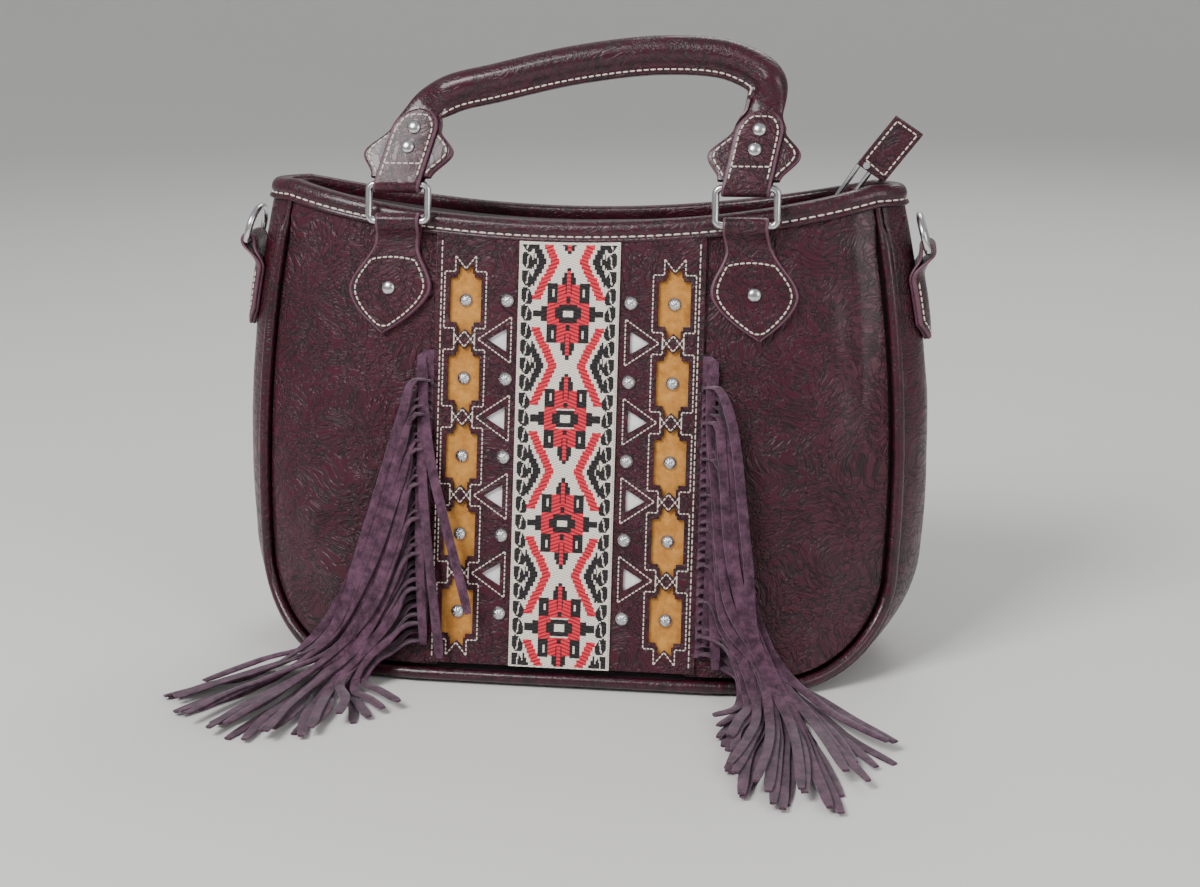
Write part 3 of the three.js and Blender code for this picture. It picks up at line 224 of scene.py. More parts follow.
class Value:
    """A number that varies over a surface: a node socket with Python's operators."""

    def __init__(self, surface: "Surface", socket: bpy.types.NodeSocket) -> None:
        """Wraps a socket.

        Args:
            surface: the material that the socket belongs to.
            socket: the output that carries the number.
        """
        self.surface = surface
        self.socket = socket

    def math(self, operation: str, *values: Any) -> "Value":
        """A Math node on values."""
        node = self.surface.node("ShaderNodeMath", {"operation": operation}, dict(enumerate(values)))
        return Value(self.surface, node.outputs[0])

    def __add__(self, other: Any) -> "Value":
        """Sum."""
        return self.math("ADD", self, other)

    __radd__ = __add__

    def __mul__(self, other: Any) -> "Value":
        """Product."""
        return self.math("MULTIPLY", self, other)

    __rmul__ = __mul__

    def __sub__(self, other: Any) -> "Value":
        """Difference."""
        return self.math("SUBTRACT", self, other)

    def __rsub__(self, other: Any) -> "Value":
        """Difference with this value second."""
        return self.math("SUBTRACT", other, self)

    def __abs__(self) -> "Value":
        """Size without sign."""
        return self.math("ABSOLUTE", self)

    def wave(self, pitch: float) -> "Value":
        """Sine of a length in metres, one turn every pitch millimetres."""
        return self.math("SINE", self * (2 * math.pi / (pitch * MM)))

    def between(self, low: float, high: float) -> "Value":
        """Smooth step from 0 at low to 1 at high."""
        values = {"Value": self, "From Min": low, "From Max": high}
        node = self.surface.node("ShaderNodeMapRange", {"interpolation_type": "SMOOTHSTEP"}, values)
        return Value(self.surface, node.outputs[0])


class Surface:
    """A material under construction."""

    def __init__(self, name: str) -> None:
        """Starts an empty material.

        Args:
            name: the material's name.
        """
        self.material = bpy.data.materials.new(name)
        self.material.use_nodes = True
        self.tree = self.material.node_tree
        self.tree.nodes.clear()
        self.place = self.node("ShaderNodeTexCoord", {}, {}).outputs["Object"]

    def node(self, kind: str, settings: dict[str, Any], values: dict[Any, Any]) -> bpy.types.Node:
        """A node of the given kind.

        Args:
            kind: the node's type.
            settings: the node's attributes, which are set first.
            values: numbers, colours or links for its sockets, by name or index.

        Returns:
            The new node.
        """
        node = self.tree.nodes.new(kind)
        for key, setting in settings.items():
            setattr(node, key, setting)
        for key, value in values.items():
            socket = node.inputs[key]
            if isinstance(value, Value):
                value = value.socket
            if isinstance(value, bpy.types.NodeSocket):
                self.tree.links.new(value, socket)
            else:
                socket.default_value = value
        return node

    def noise(self, size: float, detail: float = 2, vector: Any = None) -> Value:
        """Noise with features about size millimetres wide."""
        values = {"Vector": vector or self.place, "Scale": 1 / (size * MM), "Detail": detail}
        return Value(self, self.node("ShaderNodeTexNoise", {}, values).outputs[0])

    def shifted(self, size: float, amount: float) -> bpy.types.NodeSocket:
        """The place, pushed about by noise.

        Args:
            size: width of the noise's features, in millimetres.
            amount: the longest push, in millimetres.

        Returns:
            The moved place.
        """
        values = {"Vector": self.place, "Scale": 1 / (size * MM), "Detail": 1.0}
        cloud = self.node("ShaderNodeTexNoise", {}, values).outputs["Color"]
        push = self.node("ShaderNodeVectorMath", {"operation": "SCALE"}, {0: cloud, "Scale": amount * MM})
        values = {0: self.place, 1: push.outputs[0]}
        return self.node("ShaderNodeVectorMath", {"operation": "ADD"}, values).outputs[0]

    def stretched(self, scale: Sequence[float], vector: Any = None) -> bpy.types.NodeSocket:
        """The place, or the vector, with each axis scaled."""
        values = {0: vector or self.place, 1: tuple(scale)}
        return self.node("ShaderNodeVectorMath", {"operation": "MULTIPLY"}, values).outputs[0]

    def axes(self) -> tuple[Value, Value, Value]:
        """The place's three coordinates, in metres."""
        split = self.node("ShaderNodeSeparateXYZ", {}, {0: self.place})
        return tuple(Value(self, out) for out in split.outputs)

    def mix(self, low: Any, high: Any, mask: Any) -> bpy.types.NodeSocket:
        """A colour between low and high by mask."""
        ends = [(*c, 1) if isinstance(c, tuple) and len(c) == 3 else c for c in (low, high)]
        return self.node("ShaderNodeMix", {"data_type": "RGBA"}, {0: mask, 6: ends[0], 7: ends[1]}).outputs[2]

    def bump(self, height: Value, depth: float, strength: float = 1.0) -> bpy.types.NodeSocket:
        """A normal from height, whose range 0..1 is depth millimetres deep."""
        values = {"Height": height, "Distance": depth * MM, "Strength": strength}
        return self.node("ShaderNodeBump", {}, values).outputs[0]

    def close(self, **values: Any) -> bpy.types.Material:
        """Ends the material in a Principled shader.

        Args:
            **values: socket values, with underscores for spaces and capitals as in Blender.

        Returns:
            The material.
        """
        named = {key.replace("_", " "): value for key, value in values.items()}
        shader = self.node("ShaderNodeBsdfPrincipled", {}, named)
        self.node("ShaderNodeOutputMaterial", {}, {0: shader.outputs[0]})
        return self.material


Color = tuple[float, float, float]


@dataclass(frozen=True)
class Finish:
    """A finish that makes its material once."""

    name: str

    @functools.cache
    def material(self) -> bpy.types.Material:
        """The finish's material, made at its first use."""
        return self.paint(Surface(f"bag_{self.name}"))

    def paint(self, s: Surface) -> bpy.types.Material:
        """Lays the finish on an empty material."""
        raise NotImplementedError


@dataclass(frozen=True)
class Leather(Finish):
    """Glossy leather with pores and, where crinkle is above 0, fine drawn wrinkles."""

    color: Color
    dark: Color
    crinkle: float = 1.0
    roughness: float = 0.32
    coat: float = 0.3

    def paint(self, s: Surface) -> bpy.types.Material:
        """Lays drawn wrinkles, soft swells, pores and gloss, with painted shade in the creases and painted
        highlight on the swells.
        """
        drift = s.shifted(30, 34)
        along = abs(s.noise(7, 3, s.stretched((1, 1, 2.1), drift)) - 0.5).between(0.0, 0.085)
        over = abs(s.noise(9, 3, s.stretched((1.9, 1, 1), drift)) - 0.5).between(0.0, 0.06)
        swells = s.noise(14, 3, drift)
        pores = s.noise(0.8, 2)
        clouds = s.noise(45, 2)
        relief = (along * 0.36 + over * 0.34 + swells * 0.5) * self.crinkle + pores * 0.07
        # Colour: painted shade darkens the wrinkles' creases and painted highlight lightens the swells; the
        # clouds are the leather's own uneven tone.
        tone = (along * 0.26 + over * 0.24 + swells * 0.25 + clouds * 0.45).between(0.32, 0.95)
        return s.close(
            Base_Color=s.mix(self.dark, self.color, tone),
            Roughness=(1 - along * 0.6 - over * 0.4) * 0.2 + self.roughness + pores * 0.06,
            Coat_Weight=self.coat,
            Coat_Roughness=0.16,
            Specular_IOR_Level=0.4,
            Normal=s.bump(relief, 0.9, 1.0),
        )


@dataclass(frozen=True)
class Suede(Finish):
    """Napped suede with soft mottling."""

    color: Color
    dark: Color
    nap: float = 1.0

    def paint(self, s: Surface) -> bpy.types.Material:
        """Lays the mottled nap."""
        blotch = s.noise(6, 3)
        fibre = s.noise(0.55, 3)
        brushed = s.noise(2.2, 2)
        tone = (blotch * 0.5 + fibre * 0.25 + brushed * 0.25).between(0.32, 0.7)
        return s.close(
            Base_Color=s.mix(self.dark, self.color, tone),
            Roughness=0.96 - brushed * 0.08,
            Sheen_Weight=0.35,
            Sheen_Roughness=0.5,
            Specular_IOR_Level=0.2,
            Normal=s.bump(fibre * 0.7 + brushed * 0.3, 0.25 * self.nap, 0.7),
        )


@dataclass(frozen=True)
class EdgePaint(Finish):
    """Satin paint on the cut edges of leather."""

    color: Color

    def paint(self, s: Surface) -> bpy.types.Material:
        """Lays paint with a slight ripple."""
        ripple = s.noise(1.8, 2)
        return s.close(
            Base_Color=s.mix(tuple(c * 0.7 for c in self.color), self.color, ripple.between(0.25, 0.75)),
            Roughness=0.42 + ripple * 0.12,
            Normal=s.bump(ripple, 0.12, 0.6),
        )


@dataclass(frozen=True)
class Metal(Finish):
    """Polished metal with faint handling marks."""

    color: Color
    roughness: float = 0.16

    def paint(self, s: Surface) -> bpy.types.Material:
        """Lays the polish and its marks."""
        marks = s.noise(3, 4)
        haze = s.noise(14, 2)
        return s.close(
            Base_Color=s.mix(tuple(c * 0.86 for c in self.color), self.color, marks),
            Metallic=1.0,
            Roughness=self.roughness + marks * 0.1 + haze * 0.05,
            Normal=s.bump(marks, 0.03, 0.4),
        )


@dataclass(frozen=True)
class ThreadFinish(Finish):
    """Twisted sewing thread or yarn."""

    color: Color
    dark: Color
    pitch: float = 0.9

    def paint(self, s: Surface) -> bpy.types.Material:
        """Lays the twist of the plies, with painted shade in the grooves between them."""
        x, y, z = s.axes()
        twist = (abs(x) * 0.45 + y + z).wave(self.pitch) * 0.5 + 0.5
        fluff = s.noise(0.5, 2)
        return s.close(
            # The colour is darker in the twist's grooves as painted shade; the fluff is the yarn's own uneven
            # tone.
            Base_Color=s.mix(self.dark, self.color, (twist * 0.65 + fluff * 0.35).between(0.1, 0.6)),
            Roughness=0.78 + fluff * 0.1,
            Sheen_Weight=0.2,
            Normal=s.bump(twist * 0.7 + fluff * 0.3, 0.16, 0.8),
        )


@dataclass(frozen=True)
class Cloth(Finish):
    """Plain woven cloth."""

    color: Color
    dark: Color
    pitch: float = 1.0

    def paint(self, s: Surface) -> bpy.types.Material:
        """Lays warp and weft, with painted shade where the threads dip."""
        x, y, z = s.axes()
        warp = (x + y * 0.37).wave(self.pitch) * 0.5 + 0.5
        weft = (z + y * 0.61).wave(self.pitch * 0.86) * 0.5 + 0.5
        weave = warp * weft
        fluff = s.noise(0.6, 2)
        return s.close(
            # The colour is darker where warp and weft dip, as painted shade; the fluff is the cloth's own
            # uneven tone.
            Base_Color=s.mix(self.dark, self.color, (weave * 0.7 + fluff * 0.4).between(0.1, 0.9)),
            Roughness=0.86 + fluff * 0.08,
            Sheen_Weight=0.15,
            Normal=s.bump(weave + fluff * 0.2, 0.2, 0.8),
        )


@dataclass(frozen=True)
class Board(Finish):
    """Pressed fibre board."""

    color: Color

    def paint(self, s: Surface) -> bpy.types.Material:
        """Lays the pressed fibres."""
        fibre = s.noise(1.6, 4, s.stretched((1, 0.25, 1)))
        return s.close(
            Base_Color=s.mix(tuple(c * 0.6 for c in self.color), self.color, fibre),
            Roughness=0.85 + fibre * 0.1,
            Normal=s.bump(fibre, 0.15, 0.5),
        )


@dataclass(frozen=True)
class Ground(Finish):
    """Pale studio floor."""

    color: Color

    def paint(self, s: Surface) -> bpy.types.Material:
        """Lays an even matt surface."""
        cloud = s.noise(400, 2)
        return s.close(
            Base_Color=s.mix(tuple(c * 0.985 for c in self.color), self.color, cloud),
            Roughness=0.7 + cloud * 0.05,
        )


# Each leather's second colour is its darkest, reached in the painted shade of the wrinkles' creases and in
# the leather's own uneven tone.
BURGUNDY = Leather("burgundy_leather", (0.058, 0.0034, 0.0145), (0.011, 0.0007, 0.0038))
DARK = Leather("dark_leather", (0.050, 0.0030, 0.0125), (0.011, 0.0007, 0.0038), 0.35, 0.26, 0.35)
INSIDE = Leather("leather_back", (0.07, 0.02, 0.028), (0.03, 0.008, 0.012), 0.2, 0.7, 0.0)
EDGE = EdgePaint("edge_paint", (0.15, 0.060, 0.092))
PLUM = Suede("plum_suede", (0.150, 0.066, 0.112), (0.030, 0.011, 0.023))
TAN = Suede("tan_suede", (0.70, 0.33, 0.075), (0.42, 0.165, 0.03), 1.3)
WHITE = Leather("white_leather", (0.96, 0.95, 0.94), (0.86, 0.85, 0.84), 0.2, 0.45, 0.1)
# Each yarn's and thread's second colour is the painted shade in its twist's grooves, and also the dark end of
# its own uneven fluff.
CREAM_YARN = ThreadFinish("cream_yarn", (0.92, 0.87, 0.77), (0.50, 0.44, 0.36), 1.5)
RED_YARN = ThreadFinish("red_yarn", (0.88, 0.026, 0.062), (0.26, 0.006, 0.014), 2.2)
BLACK_YARN = ThreadFinish("black_yarn", (0.024, 0.020, 0.022), (0.003, 0.002, 0.003), 2.2)
STITCH = ThreadFinish("cream_thread", (0.90, 0.83, 0.72), (0.58, 0.50, 0.40))
# Each cloth's second colour is the painted shade where its threads dip, and also the dark end of its own
# uneven tone.
LINING_CLOTH = Cloth("lining_cloth", (0.045, 0.030, 0.034), (0.012, 0.008, 0.010), 1.1)
TAPE = Cloth("zip_tape", (0.040, 0.014, 0.020), (0.012, 0.005, 0.007), 0.9)
COIL = EdgePaint("zip_coil", (0.030, 0.010, 0.015))
NICKEL = Metal("nickel", (0.70, 0.70, 0.72))
BOARD = Board("fibre_board", (0.30, 0.23, 0.15))
FLOOR = Ground("studio_floor", (0.80, 0.79, 0.77))


# ---- mesh kit


@dataclass
class Shape:
    """Points in millimetres, faces, and each face's material index."""

    points: list[Vector] = field(default_factory=list)
    faces: list[tuple[int, ...]] = field(default_factory=list)
    slots: list[int] = field(default_factory=list)

    def face(self, corners: Iterable[int], slot: int = 0) -> None:
        """Adds one face."""
        self.faces.append(tuple(corners))
        self.slots.append(slot)

    def add(self, other: "Shape", slot: int | None = None) -> "Shape":
        """Adds another shape's points and faces.

        Args:
            other: the shape to add.
            slot: the material index for its faces, or None to keep theirs.

        Returns:
            This shape.
        """
        start = len(self.points)
        self.points.extend(other.points)
        for corners, own in zip(other.faces, other.slots):
            self.face((c + start for c in corners), own if slot is None else slot)
        return self

    def moved(self, place: Callable[[Vector], Vector]) -> "Shape":
        """A copy with each point moved."""
        return Shape([place(p) for p in self.points], list(self.faces), list(self.slots))

    def rings(self, sections: Iterable[Sequence[Vector]]) -> list[list[int]]:
        """Adds closed sections of points.

        Args:
            sections: rings of points.

        Returns:
            The indices of each ring, with its first one again at the end.
        """
        rows = []
        for section in sections:
            start = len(self.points)
            self.points.extend(section)
            rows.append([*range(start, start + len(section)), start])
        return rows

    def spindle(self, tips: Sequence[Vector], sections: Iterable[Sequence[Vector]]) -> None:
        """Adds a skin over closed sections that ends in a point on both sides.

        Args:
            tips: the two end points.
            sections: rings of points from the first tip to the second.
        """
        first = len(self.points)
        self.points.extend(tips)
        rows = self.rings(sections)
        grid(self, rows)
        for k in range(len(rows[0]) - 1):
            self.face((first, rows[0][k + 1], rows[0][k]))
            self.face((first + 1, rows[-1][k], rows[-1][k + 1]))


def grid(shape: Shape, rows: list[list[int]], slot: int = 0, flip: bool = False) -> None:
    """Adds quads between rows of points.

    Args:
        shape: the shape that has the points.
        rows: their indices, row by row.
        slot: material index.
        flip: whether the quads face the other way.
    """
    for low, high in zip(rows, rows[1:]):
        for i in range(len(low) - 1):
            corners = (low[i], low[i + 1], high[i + 1], high[i])
            shape.face(reversed(corners) if flip else corners, slot)


def spread(u: float, half: float) -> float:
    """Place across a leaf of that half width, whose outermost tenth is a rim of fixed width."""
    inner = max(half - 1.3, 0.0)
    a = abs(u)
    return math.copysign(a / 0.9 * inner if a <= 0.9 else lerp(inner, half, a * 10 - 9), u)


def slab(us: Sequence[float], vs: Sequence[float], place: Point, back: int = 0, edge: int = 0,
         rim: bool = False) -> Shape:
    """A sheet with two faces and four closed edges.

    Args:
        us: values across the sheet.
        vs: values along it.
        place: gives a point from u, v and the layer, 0 outside and 1 inside.
        back: material index of the inner face.
        edge: material index of the edges.
        rim: whether the edges' paint laps onto the outer face's first and last columns.

    Returns:
        The sheet.
    """
    shape = Shape()
    layers = []
    for layer in (0, 1):
        rows = []
        for v in vs:
            rows.append(range(len(shape.points), len(shape.points) + len(us)))
            shape.points.extend(place(u, v, layer) for u in us)
        layers.append([list(r) for r in rows])
    outer, inner = layers
    lap = 1 if rim else 0
    grid(shape, [r[lap:len(r) - lap] for r in outer])
    if rim:
        grid(shape, [r[:2] for r in outer], edge)
        grid(shape, [r[-2:] for r in outer], edge)
    grid(shape, inner, back, True)
    grid(shape, [inner[0], outer[0]], edge)
    grid(shape, [outer[-1], inner[-1]], edge)
    grid(shape, [[r[0] for r in outer], [r[0] for r in inner]], edge)
    grid(shape, [[r[-1] for r in inner], [r[-1] for r in outer]], edge)
    return shape


def loft(sections: Sequence[Sequence[Vector]], closed: bool = False) -> Shape:
    """A skin over closed sections of equal length.

    Args:
        sections: rings of points.
        closed: whether the last section joins the first; otherwise both ends get caps.

    Returns:
        The skin.
    """
    shape = Shape()
    rows = shape.rings(sections)
    grid(shape, [*rows, rows[0]] if closed else rows)
    if not closed:
        shape.face(reversed(rows[0][:-1]))
        shape.face(rows[-1][:-1])
    return shape


def lathe(profile: Outline, sides: int = 32) -> Shape:
    """A shape turned about Z.

    Args:
        profile: radius and height, from end to end; both ends are on the axis.
        sides: number of flat sides.

    Returns:
        The shape.
    """
    shape = Shape()
    tips = [Vector((0, 0, height)) for _, height in (profile[0], profile[-1])]
    shape.spindle(tips, [[Vector((radius * c, radius * s, height)) for c, s in circle(sides)]
                         for radius, height in profile[1:-1]])
    return shape


def wire(path: Outline, radius: float, sides: int = 14) -> Shape:
    """A round wire.

    Args:
        path: the closed path of its middle, as x and z.
        radius: half of its thickness.
        sides: number of flat sides.

    Returns:
        The wire.
    """
    sections = []
    for i, (x, z) in enumerate(path):
        before, after = path[i - 1], path[(i + 1) % len(path)]
        along = Vector((after[0] - before[0], after[1] - before[1])).normalized() * radius
        sections.append([Vector((x + along.y * c, radius * s, z - along.x * c)) for c, s in circle(sides)])
    return loft(sections, True)


def plate(outlines: Sequence[Outline], low: float, high: float, bevel: float = 0.3) -> Shape:
    """A flat plate with rounded edges from one outline and its holes.

    Args:
        outlines: closed paths of x and y; a path inside another is a hole.
        low: height of the back.
        high: height of the front.
        bevel: radius of the rounded edges.

    Returns:
        The plate.
    """
    curve = bpy.data.curves.new("outline", "CURVE")
    curve.dimensions = "2D"
    curve.fill_mode = "BOTH"
    curve.extrude = (high - low) / 2 - bevel
    curve.bevel_depth = bevel
    curve.bevel_resolution = 1
    curve.offset = -bevel / 2
    for path in outlines:
        spline = curve.splines.new("POLY")
        spline.points.add(len(path) - 1)
        for point, (x, y) in zip(spline.points, path):
            point.co = (x, y, 0, 1)
        spline.use_cyclic_u = True
    holder = bpy.data.objects.new("outline", curve)
    mesh = bpy.data.meshes.new_from_object(holder)
    middle = (low + high) / 2
    shape = Shape([v.co + Vector((0, 0, middle)) for v in mesh.vertices])
    for polygon in mesh.polygons:
        shape.face(polygon.vertices)
    bpy.data.objects.remove(holder)
    bpy.data.curves.remove(curve)
    bpy.data.meshes.remove(mesh)
    return shape


def standing(shape: Shape, foot: Vector, outward: Vector) -> Shape:
    """The shape with its Z turned outward and its origin on foot."""
    turn = Vector((0, 0, 1)).rotation_difference(outward)
    return shape.moved(lambda p: turn @ p + foot)


@dataclass
class Sewing:
    """Rows of raised stitches that become one piece."""

    name: str
    body: str
    width: float = 0.45
    height: float = 0.42
    shape: Shape = field(default_factory=Shape)

    CAPSULE = ((-0.47, 0.5), (-0.36, 0.85), (0.0, 1.0), (0.36, 0.85), (0.47, 0.5))
    SHOWN = 0.76  # share of the pitch between a stitch's two holes
    LENGTH = 0.78  # a stitch's length as a share of the pitch
    SHORTEST = 0.3

    def stitch(self, centre: Vector, along: Vector, normal: Vector, length: float) -> None:
        """Adds one stitch, half sunk in the surface.

        Args:
            centre: its middle.
            along: the seam's direction.
            normal: the surface's outward direction.
            length: from end to end.
        """
        across = normal.cross(along).normalized() * self.width
        up = along.cross(across).normalized() * self.height
        rings = []
        for place, size in self.CAPSULE:
            middle = centre + along * (place * length)
            rings.append([middle + across * (c * size) + up * (s * size) for c, s in circle(6)])
        self.shape.spindle([centre - along * length / 2, centre + along * length / 2], rings)

    def row(self, path: Sequence[Vector], normal: Normal, pitch: float = 3.6) -> None:
        """Sews along a path.

        Args:
            path: points of the seam on the surface.
            normal: the surface's outward direction, or a function of the point.
            pitch: millimetres from one stitch to the next.
        """
        lengths = [0.0]
        for a, b in zip(path, path[1:]):
            lengths.append(lengths[-1] + (b - a).length)
        count = max(1, round(lengths[-1] / pitch))
        step = lengths[-1] / count
        for k in range(count):
            a, b = (knots((k + 0.5 + d * self.SHOWN) * step, lengths, path) for d in (-0.5, 0.5))
            if (b - a).length > self.SHORTEST:
                centre = (a + b) / 2
                out = normal(centre) if callable(normal) else normal
                self.stitch(centre, (b - a).normalized(), out, step * self.LENGTH)

    def close(self) -> bpy.types.Object:
        """Makes the piece."""
        return piece(self.name, self.shape, [STITCH], self.body, slot="")


def face_outward(mesh: bpy.types.Mesh) -> None:
    """Turns every face outward, also a cap that only touches its walls and so needs a welded copy.

    Args:
        mesh: the mesh, in metres.
    """
    work = bmesh.new()
    work.from_mesh(mesh)
    bmesh.ops.recalc_face_normals(work, faces=work.faces)
    work.to_mesh(mesh)
    own = work.faces.layers.int.new("own")
    for face in work.faces:
        face[own] = face.index
    bmesh.ops.remove_doubles(work, verts=work.verts, dist=0.001 * MM)
    bmesh.ops.recalc_face_normals(work, faces=work.faces)
    if all(edge.is_manifold for edge in work.edges):
        for face in work.faces:
            if face.normal.dot(mesh.polygons[face[own]].normal) < 0:
                mesh.polygons[face[own]].flip()
    work.free()
    mesh.update()


def piece(
    name: str,
    shape: Shape,
    finishes: Sequence[Finish],
    body: str = "bag",
    stands_for: Sequence[str] = (),
    bevel: float = 0.0,
    angle: float = 40,
    slot: str | None = None,
) -> bpy.types.Object:
    """Makes one piece of the bag.

    Args:
        name: the piece's name.
        shape: its points and faces, in millimetres.
        finishes: one finish for each material index.
        body: the CAD body that it rides on.
        stands_for: CAD nodes that it replaces.
        bevel: radius of its rounded edges, in millimetres.
        angle: edges sharper than this many degrees stay sharp.
        slot: a material slot's name, which is not used.

    Returns:
        The piece.
    """
    mesh = bpy.data.meshes.new(name)
    mesh.from_pydata([p * MM for p in shape.points], [], shape.faces)
    for finish in finishes:
        mesh.materials.append(finish.material())
    mesh.polygons.foreach_set("material_index", shape.slots)
    mesh.validate()
    face_outward(mesh)
    obj = bpy.data.objects.new(name, mesh)
    bpy.context.scene.collection.objects.link(obj)
    if bevel:
        rounding = obj.modifiers.new("rounding", "BEVEL")
        rounding.width = bevel * MM
        rounding.segments = 2
        rounding.angle_limit = 50 * DEG
        finished = bpy.data.meshes.new_from_object(obj.evaluated_get(bpy.context.evaluated_depsgraph_get()))
        obj.modifiers.clear()
        obj.data = finished
        bpy.data.meshes.remove(mesh)
        finished.name = name
        mesh = finished
    mesh.polygons.foreach_set("use_smooth", [True] * len(mesh.polygons))
    mesh.set_sharp_from_angle(angle=angle * DEG)
    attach(obj, body)
    if stands_for:
        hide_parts(*stands_for)
    if slot != "":
        slot or finishes[0].name
    log.info("%s: %d faces on %s", name, len(mesh.polygons), body)
    return obj


# ---- form of the body


@dataclass(frozen=True)
class Form:
    """Main shape of the bag: a flat centre and panels that curve back to the sides."""

    base_half: float = 167.3
    mouth_half: float = 159.0
    belly: float = 12.7
    base_depth: float = 140.0
    mouth_depth: float = 54.0
    lean_back: float = 14.0
    end_height: float = 239.4
    mouth_dip: float = 17.0
    corner_radius: float = 50.0
    seam_lift: float = 5.0
    wrap: float = 0.862
    base_flat: float = 0.93
    centre_half: float = 67.0
    panel_top: float = 4.0
    piping_start: float = 26.0

    def half_width(self, z: float) -> float:
        """Half of the width at height z."""
        r = z / self.end_height
        return lerp(self.base_half, self.mouth_half, r) + 4 * self.belly * r * (1 - r)

    def half_depth(self, z: float) -> float:
        """Half of the depth at height z."""
        return lerp(self.base_depth, self.mouth_depth, z / self.end_height) / 2

    def middle_y(self, z: float) -> float:
        """Y of the middle at height z."""
        return self.lean_back * z / self.end_height

    def seam_x(self, z: float) -> float:
        """X of the seams between the panels and the gusset."""
        return self.centre_half + (self.half_width(z) - self.centre_half) * self.wrap

    def bulge(self, z: float) -> float:
        """How far the gusset swells beyond the seams."""
        return (self.half_width(z) - self.centre_half) * (1 - self.wrap)

    def rim(self, x: float) -> float:
        """Height of the rim."""
        return self.end_height - self.mouth_dip * max(0.0, 1 - (x / self.seam_x(self.end_height)) ** 2)

    def face_depth(self, x: float, z: float) -> float:
        """Distance of a face from the middle."""
        share = clamp((abs(x) - self.centre_half) / (self.half_width(z) - self.centre_half), 0, 0.999)
        return self.half_depth(z) * math.sqrt(1 - share * share)

    def face_y(self, face: Face, x: float, z: float) -> float:
        """Y of a face."""
        return self.middle_y(z) + face.value * self.face_depth(x, z)

    def face_normal(self, face: Face, x: float, z: float) -> Vector:
        """Outward direction of a face."""
        d = 0.5
        slope_x = (self.face_y(face, x + d, z) - self.face_y(face, x - d, z)) / (2 * d)
        slope_z = (self.face_y(face, x, z + d) - self.face_y(face, x, z - d)) / (2 * d)
        return Vector((-slope_x, 1, -slope_z)).normalized() * face.value

    def face_point(self, face: Face, x: float, z: float, proud: float = 0.0) -> Vector:
        """A point proud of a face."""
        return Vector((x, self.face_y(face, x, z), z)) + self.face_normal(face, x, z) * proud

    @property
    def corner_z(self) -> float:
        """Height of the lower corners' centres."""
        return self.seam_lift + self.corner_radius

    @property
    def corner_x(self) -> float:
        """X of the lower corners' centres."""
        return self.seam_x(self.corner_z) - self.corner_radius

    def station(self, s: float) -> tuple[float, float, float, float, float, float]:
        """A place on the seam line: s is 0 at the left rim and 5 at the right one.

        Returns:
            x, z, the outward direction's x and z, the gusset's bulge and its flatness.
        """
        side = -1 if s < 2.5 else 1
        t = s if side < 0 else 5 - s
        if t <= 1:
            z = lerp(self.end_height - self.panel_top, self.corner_z, t)
            return side * self.seam_x(z), z, side, 0.0, self.bulge(z), 0.0
        if t <= 2:
            angle = (t - 1) * math.pi / 2
            swell = lerp(self.bulge(self.corner_z), self.seam_lift, t - 1)
            c, n = math.cos(angle), math.sin(angle)
            x = side * (self.corner_x + self.corner_radius * c)
            return x, self.corner_z - self.corner_radius * n, side * c, -n, swell, t - 1
        return lerp(-self.corner_x, self.corner_x, s - 2), self.seam_lift, 0.0, -1.0, self.seam_lift, 1.0

    def crown(self, c: float, flat: float) -> float:
        """Share of the bulge at c, -1 at the front seam and 1 at the back one."""
        curve = 1 - self.wrap**2
        rounded = (math.sqrt(1 - curve * c * c) - self.wrap) / (1 - self.wrap)
        level = clamp((1 - abs(c)) / (1 - self.base_flat))
        return lerp(rounded, level, flat)

    def gusset_skin(self, s: float, c: float) -> Vector:
        """A point on the gusset's outside."""
        x, z, nx, nz, swell, flat = self.station(s)
        push = swell * self.crown(c, flat)
        return Vector((x + nx * push, self.middle_y(z) + c * self.face_depth(x, z), z + nz * push))

    def gusset_point(self, s: float, c: float, proud: float = 0.0) -> Vector:
        """A point proud of the gusset."""
        d = 0.002
        along_s = self.gusset_skin(min(s + d, 5), c) - self.gusset_skin(max(s - d, 0), c)
        along_c = self.gusset_skin(s, min(c + d, 1)) - self.gusset_skin(s, max(c - d, -1))
        normal = along_c.cross(along_s).normalized()
        _, _, nx, nz, _, _ = self.station(s)
        if normal.dot(Vector((nx, 0, nz))) < 0:
            normal.negate()
        return self.gusset_skin(s, c) + normal * proud


FORM = Form()
PIPING_RADIUS = 3.0
SEAM_MARGIN = PIPING_RADIUS + 3 * GAP
TOP_MARGIN = 2.2


def seam_gap(z: float) -> float:
    """Room between a panel's edge and the seam."""
    start = FORM.end_height - FORM.piping_start
    return lerp(SEAM_MARGIN, TOP_MARGIN, smooth(z, start, start + 8))


def ripple(p: Vector, amount: float, size: float = 34.0) -> float:
    """Soft unevenness of leather.

    Args:
        p: the place.
        amount: its usual height, in millimetres.
        size: its usual width, in millimetres.

    Returns:
        The height at the place.
    """
    near = noise.noise(p / size)
    fine = noise.noise(p / (size * 0.3) + Vector((7, 3, 5)))
    return amount * (near + 0.35 * fine)


